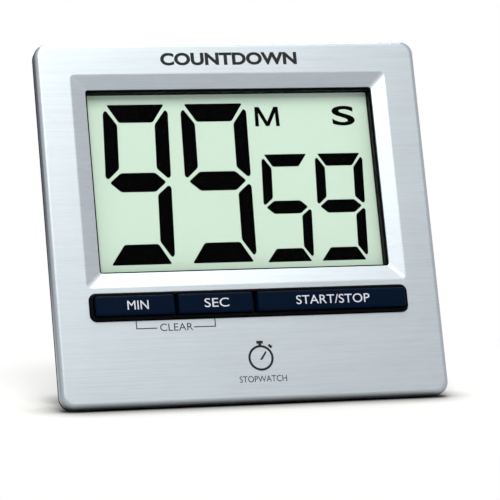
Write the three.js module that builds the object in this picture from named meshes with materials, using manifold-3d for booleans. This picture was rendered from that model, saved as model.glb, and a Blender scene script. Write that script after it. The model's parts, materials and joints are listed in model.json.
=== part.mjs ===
// Laboratory countdown timer: a folded metal face on a two-part plastic case, with a segment
// display, three keys, one AAA cell, and a leg on the back that swings out to stand it up.
//
// Units are millimetres. The unit is laid out upright in its own face frame: X runs to the
// right, Y runs back from the face, and Z runs up the face from its lower edge. The whole unit
// then leans back onto its leg, and is set down with its lowest flat on Z = 0.

import * as THREE from 'three';
import { mergeVertices } from 'three/addons/utils/BufferGeometryUtils.js';
import { ConvexGeometry } from 'three/addons/geometries/ConvexGeometry.js';
import Module from 'manifold-3d';

// ---- Face plate
const FACE_WIDTH = 95.25;
const FACE_HEIGHT = 88.9;
const FACE_CORNER = 3.2;
const FOLD_RADIUS = 1.2; // outside radius where the face folds into its sides
const SHEET = 0.5; // metal thickness
const TRAY_DEPTH = 2.6; // depth of the folded sides

// ---- How it stands
const LEAN = THREE.MathUtils.degToRad(19.6); // face from vertical
const LEG_SPLAY = THREE.MathUtils.degToRad(12); // open leg from vertical
const REST_FLAT = 1.1; // width of the flat on the flange that stands on the bench

// ---- Window in the face plate, and the sloping bevel round it
const WINDOW_SIDE = 11.775; // face edge to window edge, left and right
const WINDOW_TOP_MARGIN = 11.5;
const WINDOW_CORNER = 0.7;
const BEVEL_WIDTH = 3.6;
const BEVEL_DEPTH = 0.8;
const BEVEL_CORNER = 1.1;
const BAR_TO_BEVEL = 1.6; // flat metal between the key frame and the bevel

// ---- Key bar
const BAR_SIDE = 8.555; // face edge to key frame, left and right
const BAR_BASE = 20.6;
const BAR_HEIGHT = 6.4;
const BAR_CORNER = 1.5;
const RIM_WALL = 0.7;
const RIM_PROUD = 0.9; // key frame above the face
const KEY_PROUD = 2.2; // key caps above the face
const KEY_FLANGE = 0.8; // thickness of the step that holds a key in, and its width above and below
const KEY_SIDE_FLANGE = 0.3;
const KEY_TRAVEL = 0.8;
const MIN_KEY_WIDTH = 19.1;
const SEC_KEY_WIDTH = 18.2;
const MIN_SEC_GAP = 0.9;
const SEC_START_GAP = 1.2;

// ---- Clearances
const SLIP = 0.2; // round what slides
const FIT = 0.15; // round what drops in
const SEAT = 0.05; // between faces that sit on each other

// ---- Front housing
const HOUSING_WALL = 1.6;
const FLANGE_DEPTH = 1.55; // black edge that shows behind the metal sides
const SURROUND_INSET = 0.45; // plastic that shows inside the metal window
const SURROUND_DEPTH = 1.6;
const POCKET_WALL = 1.2;
const LIP_WALL = 1.2;
const LIP_DEPTH = 1.6; // how far the front housing reaches into the rear one
const POST_RADIUS = 2.6;
const PILOT_RADIUS = 1.05;

// ---- Display stack
const LENS_MARGIN = 1.6;
const LENS_THICKNESS = 1.0;
const LENS_AIR = 0.2;
const GLASS_MARGIN = 2.5;
const GLASS_LEDGE = 3.4; // strip of the front glass that the contact strip presses on
const FRONT_GLASS = 1.1;
const BACK_GLASS = 1.0;
const REFLECTOR = 0.2;
const RETAINER = 0.8;
const RETAINER_BORDER = 4.2;
const CONTACT_STRIP = 2.2;

// ---- Circuit board
const BOARD_WIDTH = 63;
const BOARD_BASE = 11;
const BOARD_TOP = 41;
const BOARD = 1.0;
const BOARD_SCREW_SPAN = 28.5;
const BOARD_SCREW_Z = 15.8;

// ---- Parts on the board
const CHIP_X = 8;
const CHIP_Z = 27;
const CHIP_RADIUS = 5;
const CHIP_HEIGHT = 1.6;
const CRYSTAL_X = -9; // left end
const CRYSTAL_Z = 22;
const CRYSTAL_LENGTH = 6;
const CRYSTAL_RADIUS = 1;
const CAPACITOR_X = 20;
const CAPACITOR_Z = 32;
const CAPACITOR_RADIUS = 2;
const CAPACITOR_HEIGHT = 5.3;

// ---- Keypad
const KEYPAD = 0.9;
const DOME_RADIUS = 3.0;
const DOME_SPARE = 0.5; // height of a dome beyond the travel of its key
const DOME_POST = 1.5;
const KEYPAD_SIDE = 3; // end of the key bar in to the keypad
const KEYPAD_ABOVE = 3.1; // keypad beyond the middle of the keys
const KEYPAD_BELOW = 4.7;

// ---- Rear housing
const CASE_SIDE = 5.6; // face edge in to the rear housing, left and right
const CASE_TOP_INSET = 5.0;
const CASE_BASE = 7.8;
const CASE_WALL = 1.6;
const CASE_CORNER = 5.0;
const CASE_EDGE = 2.4; // rounding of its back edge
const SCREW_X = 5.7; // case screws in from the sides of the rear housing
const SCREW_Z = 14;
const BOSS_RADIUS = 4.0;
const SCREW_HEAD = 2.3;
const SCREW_SHANK = 0.95;
const SCREW_RECESS = 0.5; // width of the slots of the cross recess
const SCREW_HEAD_HEIGHT = 1.6;
const BOARD_SCREW_HEAD = 1.9;
const BOARD_SCREW_HEAD_HEIGHT = 1.2;
const SCREW_WELL = 8.5; // depth of the holes that the screw heads sit in
const HOOK_WIDTH = 8;
const HOOK_X = 20;
const HOOK_REACH = 0.6;

// ---- Cell, its bay and its door
const CELL_DIAMETER = 10.5;
const CELL_LENGTH = 44.5;
const CELL_TOP_MARGIN = 15.1; // centre of the cell below the top of the face
const SPRING_ROOM = 4.3; // along the cell, at its flat end
const NUB_ROOM = 1.2; // along the cell, at its nub
const BAY_WALL = 1.0;
const CELL_SLACK = 0.3;
const CONTACT_SHEET = 0.4;
const CONTACT_HEIGHT = 8;
const CONTACT_TAB = 2; // height of the tab that the lead is soldered to
const CONTACT_TAB_REACH = 1.4; // tab beyond the wall of the bay
const SPRING_WIRE = 0.3; // radius of the spring's wire
const SPRING_ROOT = 3.2; // radius of the spring at its root
const SPRING_TIP = 1.8;
const SPRING_TURNS = 2.5;
const DIMPLE_RADIUS = 1.5;
const DOOR_TONGUE = 0.75; // hidden lower half of the door, held under the lips of its slot
const DOOR_SKIN = 0.85;
const DOOR_WIDTH = 54;
const DOOR_TONGUE_REACH = 1.0;
const DOOR_MARGIN = 3.15; // door beyond the cell, at its lower edge

// ---- Leg
const LEG_WIDTH = 24;
const LEG_THICKNESS = 2.6;
const LEG_SUNK = 0.35; // folded leg below the back of the case
const LEG_HEEL = 3.0; // stub above the hinge that meets its stop when the leg is open
const LEG_WELL_WALL = 1.5;
const LUG_WALL = 3.4;
const PIN_RADIUS = 0.75;
const PIN_SLIP = 0.1;

// ---- Magnets and buzzer
const MAGNET_RADIUS = 7;
const MAGNET_THICKNESS = 2.0;
const MAGNET_PROUD = 0.15;
const MAGNET_X = 26;
const MAGNET_BELOW_HINGE = 12;
const BUZZER_X = -26.5;
const BUZZER_Z = 24.5;
const PIEZO_RADIUS = 9.4;
const PIEZO_DISC = 0.3;
const PIEZO_ELEMENT = 0.25;
const SOUND_HOLE = 0.7;
const SOUND_RING = 3.2; // radius of the ring of sound holes
const SOUND_HOLES = 6; // holes in that ring, with one more in its middle

// ---- Leads, as radii
const BATTERY_LEAD = 0.5;
const BUZZER_LEAD = 0.4;

// ---- Where the layers of the display lie, counted back from the face
const lipBack = BEVEL_DEPTH + SHEET;
const surroundFront = lipBack + 2 * SEAT;
const lensFront = surroundFront + SURROUND_DEPTH + SEAT;
const frontGlassY = lensFront + LENS_THICKNESS + LENS_AIR + SEAT;
const backGlassY = frontGlassY + FRONT_GLASS + SEAT;
const reflectorY = backGlassY + BACK_GLASS + SEAT;
const retainerY = reflectorY + REFLECTOR + SEAT;
const retainerBack = retainerY + RETAINER;
const boardY = retainerBack + 2 * SLIP;
const boardBack = boardY + BOARD;

// ---- Front housing
const housingFront = SHEET + 2 * SEAT;
const wallBack = housingFront + HOUSING_WALL;
const flangeFront = TRAY_DEPTH + SEAT;
const flangeBack = flangeFront + FLANGE_DEPTH;
const lipEnd = flangeBack + LIP_DEPTH;
const pocketEnd = retainerBack - FIT;

// ---- Cell, door and back of the case
const bayFront = retainerBack + 2 * FIT;
const cellRadius = CELL_DIAMETER / 2;
const cellY = bayFront + BAY_WALL + CELL_SLACK + cellRadius;
const cellZ = FACE_HEIGHT - CELL_TOP_MARGIN;
const doorFront = cellY + cellRadius + CELL_SLACK;
const doorStep = doorFront + DOOR_TONGUE;
const backY = doorStep + DOOR_SKIN;
const doorBase = cellZ - cellRadius - DOOR_MARGIN;
const backWallFront = backY - CASE_WALL;
const bayHalfHeight = cellRadius + 2 * SLIP;
const bayHalfLength = (CELL_LENGTH + SPRING_ROOM + NUB_ROOM) / 2;

// ---- Leg
const hingeY = backY - LEG_SUNK - LEG_THICKNESS / 2;
const hingeZ = doorBase - LEG_HEEL - 2 * FIT - 2 * LEG_WELL_WALL;
const legWellFloor = hingeY - LEG_THICKNESS / 2 - 2 * FIT;
const legOpening = LEAN + LEG_SPLAY;

// ---- Key bar
const barHalf = FACE_WIDTH / 2 - BAR_SIDE;
const barTop = BAR_BASE + BAR_HEIGHT;
const keyBase = BAR_BASE + RIM_WALL + SLIP;
const keyTop = barTop - RIM_WALL - SLIP;
const keyZ = (keyBase + keyTop) / 2;
const keyLeft = -barHalf + RIM_WALL + SLIP;
const keyFlangeFront = wallBack + 2 * SEAT;
const keyBack = keyFlangeFront + KEY_FLANGE;
const domeHeight = KEY_TRAVEL + DOME_SPARE;

// ---- Window
const windowHalf = FACE_WIDTH / 2 - WINDOW_SIDE;
const windowBase = barTop + BAR_TO_BEVEL + BEVEL_WIDTH;
const windowTop = FACE_HEIGHT - WINDOW_TOP_MARGIN;
const glassHalf = windowHalf + GLASS_MARGIN;
const glassTop = windowTop + GLASS_MARGIN;
const glassBase = windowBase - GLASS_LEDGE - SLIP;
const backGlassBase = windowBase - SLIP;

// ---- Rear housing
const caseHalf = FACE_WIDTH / 2 - CASE_SIDE;
const caseTop = FACE_HEIGHT - CASE_TOP_INSET;
const screwX = caseHalf - SCREW_X;
const magnetZ = hingeZ - MAGNET_BELOW_HINGE;

// The bench cuts the flange's lower back corner off along a narrow flat.
const benchLevel = SEAT * Math.cos(LEAN) - flangeBack * Math.sin(LEAN)
  + REST_FLAT * Math.sin(LEAN) * Math.cos(LEAN);

const FAR = 200; // reach of the blocks that only cut
const ARC_STEPS = 3;

// ---- Solids: closed geometries to join and cut, and back again

const wasm = await Module();
wasm.setup();

/** Closed three.js geometry to a solid that can be joined and cut. */
function solid(geometry) {
  const shell = geometry.index ? geometry.toNonIndexed() : geometry.clone();
  shell.deleteAttribute('normal');
  shell.deleteAttribute('uv');
  const merged = mergeVertices(shell, 1e-4);
  return new wasm.Manifold(new wasm.Mesh({
    numProp: 3,
    vertProperties: Float32Array.from(merged.attributes.position.array),
    triVerts: Uint32Array.from(merged.index.array),
  }));
}

/** Solid back to a three.js geometry. */
function toGeometry(body) {
  const mesh = body.getMesh();
  const geometry = new THREE.BufferGeometry();
  geometry.setAttribute('position', new THREE.BufferAttribute(Float32Array.from(mesh.vertProperties), 3));
  geometry.setIndex(new THREE.BufferAttribute(Uint32Array.from(mesh.triVerts), 1));
  geometry.computeVertexNormals();
  return geometry;
}

/** Rectangle with round corners, drawn on the face. */
function outline(x0, x1, z0, z1, radius) {
  const r = Math.max(radius, 0.05);
  const shape = new THREE.Shape();
  shape.moveTo(x0 + r, z0);
  shape.lineTo(x1 - r, z0);
  shape.absarc(x1 - r, z0 + r, r, -Math.PI / 2, 0, false);
  shape.lineTo(x1, z1 - r);
  shape.absarc(x1 - r, z1 - r, r, 0, Math.PI / 2, false);
  shape.lineTo(x0 + r, z1);
  shape.absarc(x0 + r, z1 - r, r, Math.PI / 2, Math.PI, false);
  shape.lineTo(x0, z0 + r);
  shape.absarc(x0 + r, z0 + r, r, Math.PI, 1.5 * Math.PI, false);
  return shape;
}

/** Outline drawn on the face, carried back from one depth to another. */
function prism(shape, front, back) {
  const geometry = new THREE.ExtrudeGeometry(shape, {
    depth: back - front, bevelEnabled: false, curveSegments: ARC_STEPS,
  });
  return solid(geometry.rotateX(Math.PI / 2).translate(0, back, 0));
}

/** Prism whose front edge, or back edge, is rounded over. */
function roundedPrism(shape, front, back, radius, roundBack = false, steps = 3) {
  const depth = back - front;
  const geometry = new THREE.ExtrudeGeometry(shape, {
    depth, bevelEnabled: true, bevelSegments: steps, bevelSize: radius, bevelOffset: -radius,
    bevelThickness: radius, curveSegments: ARC_STEPS,
  });
  const shift = roundBack ? back - radius : front + depth + radius;
  const body = solid(geometry.rotateX(Math.PI / 2).translate(0, shift, 0));
  const kept = block(-FAR, FAR, front, back, -FAR, FAR);
  return body.intersect(kept);
}

/** Plain box between two corners. */
function block(x0, x1, y0, y1, z0, z1) {
  const geometry = new THREE.BoxGeometry(x1 - x0, y1 - y0, z1 - z0);
  return solid(geometry.translate((x0 + x1) / 2, (y0 + y1) / 2, (z0 + z1) / 2));
}

/** Round bar running back from the face. */
function bar(x, z, radius, front, back, sides = 16) {
  const geometry = new THREE.CylinderGeometry(radius, radius, back - front, sides);
  return solid(geometry.translate(x, (front + back) / 2, z));
}

/** Round bar running along X. */
function crossBar(x0, x1, y, z, radius, sides = 16) {
  const geometry = new THREE.CylinderGeometry(radius, radius, x1 - x0, sides);
  return solid(geometry.rotateZ(Math.PI / 2).translate((x0 + x1) / 2, y, z));
}

/** Solid of revolution about an axis that runs back from the face. */
function turned(profile, x, front, z, sides = 20) {
  const points = profile.map(([radius, y]) => new THREE.Vector2(radius, y));
  return solid(new THREE.LatheGeometry(points, sides).translate(x, front, z));
}

/** Convex dish between outlines that lie at different depths. */
function dish(...levels) {
  const points = [];
  for (const [shape, y] of levels) {
    for (const point of shape.getPoints(ARC_STEPS)) {
      points.push(new THREE.Vector3(point.x, y, point.y));
    }
  }
  return solid(new ConvexGeometry(points));
}

/** Soft wire through a few points. */
function wire(points, radius) {
  const section = new THREE.Shape().absarc(0, 0, radius, 0, 2 * Math.PI, false);
  const path = new THREE.CatmullRomCurve3(points.map((point) => new THREE.Vector3(...point)));
  return solid(new THREE.ExtrudeGeometry(section, {
    steps: 10, curveSegments: 3, extrudePath: path,
  }));
}

/** Everything below the bench, seen in the face frame. */
function bench() {
  const geometry = new THREE.BoxGeometry(2 * FAR, 2 * FAR, FAR).translate(0, 0, benchLevel - FAR / 2);
  return solid(geometry.rotateX(LEAN));
}

/** Outline of the window, grown by a margin on every side. */
function windowOutline(margin, radius = WINDOW_CORNER) {
  return outline(-windowHalf - margin, windowHalf + margin, windowBase - margin,
    windowTop + margin, radius);
}

/** Outline of the key bar, grown by a margin on every side. */
function barOutline(margin) {
  return outline(-barHalf - margin, barHalf + margin, BAR_BASE - margin, barTop + margin,
    BAR_CORNER + margin);
}

/** Outline of the face, grown by a margin on every side. */
function faceOutline(margin) {
  return outline(-FACE_WIDTH / 2 - margin, FACE_WIDTH / 2 + margin, -margin, FACE_HEIGHT + margin,
    FACE_CORNER + margin);
}

/** Outline of the rear housing, grown by a margin on every side. */
function caseOutline(margin) {
  return outline(-caseHalf - margin, caseHalf + margin, CASE_BASE - margin, caseTop + margin,
    CASE_CORNER + margin);
}

// ---- Keys: name, left edge and right edge of each cap

const keys = [
  { name: 'key_min', x0: keyLeft, x1: keyLeft + MIN_KEY_WIDTH },
];
keys.push({
  name: 'key_sec',
  x0: keys[0].x1 + MIN_SEC_GAP,
  x1: keys[0].x1 + MIN_SEC_GAP + SEC_KEY_WIDTH,
});
keys.push({ name: 'key_start_stop', x0: keys[1].x1 + SEC_START_GAP, x1: barHalf - RIM_WALL - SLIP });

// ---- The pieces

/** Metal tray with a bevelled window and a slot for the key frame. */
function facePlate() {
  const outer = roundedPrism(faceOutline(0), 0, TRAY_DEPTH, FOLD_RADIUS);
  const inner = roundedPrism(faceOutline(-SHEET), SHEET, TRAY_DEPTH + 1, FOLD_RADIUS - SHEET);
  const bevelEdge = windowOutline(BEVEL_WIDTH, BEVEL_CORNER);
  const lip = windowOutline(0);
  const bevelBack = dish([bevelEdge, SHEET / 2], [bevelEdge, SHEET], [windowOutline(SHEET / 2), lipBack]);
  const bevelFront = dish([bevelEdge, -1], [bevelEdge, 0], [lip, BEVEL_DEPTH]);
  return outer.subtract(inner).add(bevelBack).subtract(bevelFront)
    .subtract(prism(lip, 0, lipBack + 1))
    .subtract(prism(barOutline(FIT), -1, SHEET + 1));
}

/** Black moulding behind the plate: flange, window surround, glass pocket, key frame and posts. */
function frontHousing() {
  const lipOuter = -CASE_WALL - FIT;
  let body = roundedPrism(faceOutline(-SHEET - 2 * SEAT), housingFront, flangeBack, FOLD_RADIUS - SHEET + SEAT);
  body = body.add(roundedPrism(faceOutline(-SEAT), flangeFront, flangeBack, 0.4, true, 2));
  body = body.add(prism(caseOutline(lipOuter), flangeFront, lipEnd));
  body = body.subtract(prism(caseOutline(lipOuter - LIP_WALL), wallBack, lipEnd + 1));
  const pocket = outline(-glassHalf - FIT, glassHalf + FIT, glassBase - FIT, glassTop + FIT, WINDOW_CORNER);
  const pocketWall = outline(-glassHalf - FIT - POCKET_WALL, glassHalf + FIT + POCKET_WALL,
    glassBase - FIT - POCKET_WALL, glassTop + FIT + POCKET_WALL, WINDOW_CORNER + POCKET_WALL);
  body = body.add(prism(pocketWall, wallBack - SEAT, pocketEnd));
  for (const x of [-BOARD_SCREW_SPAN, 0, BOARD_SCREW_SPAN]) {
    body = body.add(bar(x, BOARD_SCREW_Z, POST_RADIUS, wallBack - SEAT, boardY - SEAT));
    body = body.subtract(bar(x, BOARD_SCREW_Z, PILOT_RADIUS, wallBack + 1, boardY + 1, 10));
  }
  for (const x of [-screwX, screwX]) {
    body = body.add(bar(x, SCREW_Z, BOSS_RADIUS - 1, wallBack - SEAT, lipEnd + LIP_DEPTH));
    body = body.subtract(bar(x, SCREW_Z, PILOT_RADIUS, wallBack + 1, lipEnd + LIP_DEPTH + 1, 10));
  }
  const bevelRoom = dish([windowOutline(BEVEL_WIDTH + SLIP, BEVEL_CORNER), housingFront - 1],
    [windowOutline(BEVEL_WIDTH + SLIP, BEVEL_CORNER), SHEET + 2 * SEAT],
    [windowOutline(SLIP + SHEET / 2), surroundFront]);
  body = body.subtract(bevelRoom);
  body = body.subtract(prism(windowOutline(-SURROUND_INSET), 0, lensFront + 1));
  body = body.subtract(prism(windowOutline(LENS_MARGIN + FIT), lensFront - SEAT, frontGlassY));
  body = body.subtract(prism(pocket, frontGlassY - SEAT, pocketEnd + 1));
  body = body.add(prism(barOutline(0), -RIM_PROUD, wallBack));
  body = body.subtract(prism(barOutline(-RIM_WALL), -RIM_PROUD - 1, housingFront));
  for (const key of keys) {
    const hole = outline(key.x0 - SLIP, key.x1 + SLIP, keyBase - SLIP, keyTop + SLIP, 0.4);
    body = body.subtract(prism(hole, -1, wallBack + 1));
  }
  for (const x of [-HOOK_X, HOOK_X]) {
    const top = caseTop - CASE_WALL - FIT;
    body = body.add(block(x - HOOK_WIDTH / 2, x + HOOK_WIDTH / 2, lipEnd - 1, lipEnd, top - 1,
      top + HOOK_REACH));
  }
  return body.subtract(bench());
}

/** Clear pane behind the window. */
function displayLens() {
  return prism(windowOutline(LENS_MARGIN), lensFront, lensFront + LENS_THICKNESS);
}

/** Flat sheet of the display, between two depths, from a given lower edge. */
function displaySheet(base, front, thickness) {
  return prism(outline(-glassHalf, glassHalf, base, glassTop, 0.3), front, front + thickness);
}

/** Ring that presses the glass into its pocket. */
function lcdRetainer() {
  const ring = displaySheet(backGlassBase, retainerY, RETAINER);
  const hole = outline(-glassHalf + RETAINER_BORDER, glassHalf - RETAINER_BORDER,
    backGlassBase + RETAINER_BORDER, glassTop - RETAINER_BORDER, 1.5);
  return ring.subtract(prism(hole, retainerY - 1, retainerBack + 1));
}

/** Elastomer strip that joins the glass to the board. */
function zebraStrip() {
  const middle = (glassBase + backGlassBase) / 2;
  const half = CONTACT_STRIP / 2;
  return block(-BOARD_WIDTH / 2 + 1, BOARD_WIDTH / 2 - 1, backGlassY, boardY - SEAT,
    middle - half, middle + half);
}

/** Board with its three screw holes. */
function circuitBoard() {
  let board = prism(outline(-BOARD_WIDTH / 2, BOARD_WIDTH / 2, BOARD_BASE, BOARD_TOP, 1), boardY, boardBack);
  for (const x of [-BOARD_SCREW_SPAN, 0, BOARD_SCREW_SPAN]) {
    board = board.subtract(bar(x, BOARD_SCREW_Z, SCREW_SHANK + SLIP, boardY - 1, boardBack + 1, 12));
  }
  return board;
}

/** Key cap with rounded front edges and a step that keeps it in the frame. */
function keyCap(key) {
  const cap = roundedPrism(outline(key.x0, key.x1, keyBase, keyTop, 0.5), -KEY_PROUD, keyBack, 0.35, false, 2);
  const step = outline(key.x0 - KEY_SIDE_FLANGE, key.x1 + KEY_SIDE_FLANGE, keyBase - KEY_FLANGE,
    keyTop + KEY_FLANGE, 0.5);
  return cap.add(prism(step, keyFlangeFront, keyBack));
}

/** Silicone sheet with a dome and a post under each key. */
function siliconeKeypad() {
  const base = boardY - SEAT;
  const front = base - KEYPAD;
  const half = barHalf - KEYPAD_SIDE;
  let pad = prism(outline(-half, half, keyZ - KEYPAD_BELOW, keyZ + KEYPAD_ABOVE, 1), front, base);
  for (const key of keys) {
    const reach = front - keyBack - SEAT;
    const profile = [[0, -reach], [DOME_POST, -reach], [DOME_POST, -domeHeight],
      [DOME_RADIUS, 0.1], [0, 0.1]];
    pad = pad.add(turned(profile, (key.x0 + key.x1) / 2, front, keyZ, 16));
  }
  return pad;
}

/** Blob of epoxy over the controller chip. */
function controllerChip() {
  const profile = [[0, 0], [CHIP_RADIUS, 0], [0.92 * CHIP_RADIUS, 0.44 * CHIP_HEIGHT],
    [0.64 * CHIP_RADIUS, 0.81 * CHIP_HEIGHT], [0, CHIP_HEIGHT]];
  return turned(profile, CHIP_X, boardBack + SEAT, CHIP_Z);
}

/** Can of the clock crystal, lying on the board. */
function clockCrystal() {
  return crossBar(CRYSTAL_X, CRYSTAL_X + CRYSTAL_LENGTH, boardBack + SEAT + CRYSTAL_RADIUS, CRYSTAL_Z,
    CRYSTAL_RADIUS, 12);
}

/** Capacitor that stands on the board, with its rim turned in. */
function bypassCapacitor() {
  const rim = 0.3;
  const profile = [[0, 0], [CAPACITOR_RADIUS, 0], [CAPACITOR_RADIUS, CAPACITOR_HEIGHT - rim],
    [CAPACITOR_RADIUS - rim, CAPACITOR_HEIGHT], [0, CAPACITOR_HEIGHT]];
  return turned(profile, CAPACITOR_X, boardBack + SEAT, CAPACITOR_Z, 16);
}

/** Rear shell: bay, door slot, leg well, screw bosses, magnet cups and sound holes. */
function rearHousing() {
  const front = flangeBack + SEAT;
  const outer = roundedPrism(caseOutline(0), front, backY, CASE_EDGE, true);
  const cavity = roundedPrism(caseOutline(-CASE_WALL), front - 1, backWallFront, CASE_EDGE - CASE_WALL, true);
  const wells = [];

  // Cell bay and the thick frame that the door slides in.
  const bayOuterX = bayHalfLength + BAY_WALL;
  const bayOuterZ = bayHalfHeight + BAY_WALL;
  const slotHalf = DOOR_WIDTH / 2 + DOOR_TONGUE_REACH + FIT;
  wells.push(block(-bayOuterX, bayOuterX, bayFront, backY, cellZ - bayOuterZ, cellZ + bayOuterZ));
  wells.push(block(-slotHalf - BAY_WALL, slotHalf + BAY_WALL, doorFront - BAY_WALL - FIT, backY,
    doorBase - BAY_WALL - FIT, caseTop));

  // Leg well, with thick lugs at the hinge.
  const wellHalf = LEG_WIDTH / 2 + 2 * SLIP;
  const wellTop = hingeZ + LEG_HEEL + 2 * SLIP;
  wells.push(block(-wellHalf - LEG_WELL_WALL, wellHalf + LEG_WELL_WALL, legWellFloor - LEG_WELL_WALL, backY,
    CASE_BASE, wellTop + LEG_WELL_WALL));
  wells.push(block(-wellHalf - LUG_WALL, wellHalf + LUG_WALL, hingeY - LEG_HEEL - LEG_WELL_WALL, backY,
    hingeZ - 2 * LEG_HEEL, wellTop + LEG_WELL_WALL));

  // Screw bosses, magnet cups and the ring that the buzzer sits on.
  for (const x of [-screwX, screwX]) {
    wells.push(bar(x, SCREW_Z, BOSS_RADIUS, lipEnd + LIP_DEPTH + 2 * FIT, backY, 20));
  }
  for (const x of [-MAGNET_X, MAGNET_X]) {
    wells.push(bar(x, magnetZ, MAGNET_RADIUS + 2 * SLIP + 1, backY - MAGNET_THICKNESS - BAY_WALL, backY, 24));
  }
  wells.push(bar(BUZZER_X, BUZZER_Z, PIEZO_RADIUS, backWallFront - CASE_WALL, backY, 24));

  let body = wells.reduce((whole, well) => whole.add(well.intersect(outer)), outer.subtract(cavity));

  // Hollows.
  body = body.subtract(block(-bayHalfLength, bayHalfLength, bayFront + BAY_WALL, backY + 1,
    cellZ - bayHalfHeight, cellZ + bayHalfHeight));
  body = body.subtract(block(-slotHalf, slotHalf, doorFront - FIT, doorStep + SEAT, doorBase, FAR));
  body = body.subtract(block(-DOOR_WIDTH / 2 - FIT, DOOR_WIDTH / 2 + FIT, doorFront - FIT, FAR, doorBase, FAR));
  body = body.subtract(block(-wellHalf, wellHalf, legWellFloor, FAR, -1, wellTop));
  body = body.subtract(heelRoom(wellHalf));
  body = body.subtract(crossBar(-wellHalf - LUG_WALL + 0.5, wellHalf + LUG_WALL - 0.5, hingeY, hingeZ,
    PIN_RADIUS + SEAT));
  for (const x of [-screwX, screwX]) {
    body = body.subtract(bar(x, SCREW_Z, SCREW_HEAD + 2 * SLIP, backY - SCREW_WELL, FAR, 20));
    body = body.subtract(bar(x, SCREW_Z, SCREW_SHANK + 2 * SLIP, flangeBack, backY, 12));
  }
  for (const x of [-MAGNET_X, MAGNET_X]) {
    body = body.subtract(bar(x, magnetZ, MAGNET_RADIUS + FIT, backY - MAGNET_THICKNESS, FAR, 24));
  }
  body = body.subtract(bar(BUZZER_X, BUZZER_Z, PIEZO_RADIUS - CASE_WALL, flangeBack, backWallFront, 24));
  for (let index = 0; index <= SOUND_HOLES; index += 1) {
    const angle = index * 2 * Math.PI / SOUND_HOLES;
    const reach = index === SOUND_HOLES ? 0 : SOUND_RING;
    body = body.subtract(bar(BUZZER_X + reach * Math.cos(angle), BUZZER_Z + reach * Math.sin(angle),
      SOUND_HOLE, backWallFront - 1, FAR, 8));
  }
  for (const x of [-HOOK_X, HOOK_X]) {
    const top = caseTop - CASE_WALL;
    body = body.subtract(block(x - HOOK_WIDTH / 2 - SLIP, x + HOOK_WIDTH / 2 + SLIP, lipEnd - 1 - SLIP,
      lipEnd + SLIP, top - 1, top + HOOK_REACH));
  }
  for (const side of [-1, 1]) {
    const inner = side * (bayHalfLength - 1);
    const outer = side * (bayHalfLength + 2 * BAY_WALL);
    body = body.subtract(block(Math.min(inner, outer), Math.max(inner, outer), bayFront + BAY_WALL,
      bayFront + BAY_WALL + 2, cellZ - 1.5, cellZ + 1.5));
  }
  return body;
}

/** Leg shape before its foot is cut, folded up against the back. */
function legBlank() {
  const shape = new THREE.Shape();
  const thick = LEG_THICKNESS / 2;
  shape.moveTo(-thick, -FACE_HEIGHT);
  shape.lineTo(thick, -FACE_HEIGHT);
  shape.lineTo(thick, LEG_HEEL - thick);
  shape.absarc(0, LEG_HEEL - thick, thick, 0, Math.PI, false);
  const geometry = new THREE.ExtrudeGeometry(shape, {
    depth: LEG_WIDTH, bevelEnabled: false, curveSegments: 8,
  });
  return geometry.rotateY(Math.PI / 2).rotateX(Math.PI / 2).translate(-LEG_WIDTH / 2, 0, 0);
}

/** Room for the heel of the leg, from folded to the slope that it stops against when open. */
function heelRoom(half) {
  const parts = [];
  for (let step = 0; step <= 4; step += 1) {
    const angle = legOpening * step / 4;
    const heel = new THREE.BoxGeometry(2 * half, LEG_THICKNESS + 2 * SEAT, LEG_HEEL + SLIP)
      .translate(0, 0, (LEG_HEEL + SLIP) / 2);
    parts.push(solid(heel.rotateX(angle).translate(0, hingeY, hingeZ)));
  }
  const barrel = crossBar(-half, half, hingeY, hingeZ, LEG_THICKNESS / 2 + SLIP, 24);
  return parts.reduce((whole, part) => whole.add(part), barrel);
}

/** Leg in its open place, with its foot cut level with the bench. */
function standLeg() {
  const blank = solid(legBlank().rotateX(legOpening).translate(0, hingeY, hingeZ));
  const hole = crossBar(-LEG_WIDTH, LEG_WIDTH, hingeY, hingeZ, PIN_RADIUS + PIN_SLIP);
  return blank.subtract(hole).subtract(bench());
}

/** Pin that the leg turns on. */
function hingePin() {
  const half = LEG_WIDTH / 2 + 2 * SLIP + LUG_WALL - 0.7;
  return crossBar(-half, half, hingeY, hingeZ, PIN_RADIUS);
}

/** Sliding door: a hidden tongue under a narrower skin that follows the back of the case. */
function batteryDoor() {
  const tongueHalf = DOOR_WIDTH / 2 + DOOR_TONGUE_REACH;
  const tongue = block(-tongueHalf, tongueHalf, doorFront, doorStep - SEAT, doorBase + FIT, caseTop);
  const skin = block(-DOOR_WIDTH / 2, DOOR_WIDTH / 2, doorFront, backY, doorBase + FIT, caseTop);
  const shell = roundedPrism(caseOutline(0), flangeBack, backY, CASE_EDGE, true);
  return tongue.add(skin).intersect(shell);
}

/** AAA cell lying along X, its nub to the right. */
function batteryCell() {
  const profile = [[0, 0], [cellRadius - 0.6, 0], [cellRadius, 0.5], [cellRadius, CELL_LENGTH - 1.5],
    [cellRadius - 0.6, CELL_LENGTH - 0.9], [1.9, CELL_LENGTH - 0.9], [1.9, CELL_LENGTH], [0, CELL_LENGTH]];
  const points = profile.map(([radius, y]) => new THREE.Vector2(radius, y));
  const geometry = new THREE.LatheGeometry(points, 24);
  return solid(geometry.rotateZ(-Math.PI / 2).translate(SPRING_ROOM - bayHalfLength, cellY, cellZ));
}

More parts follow.
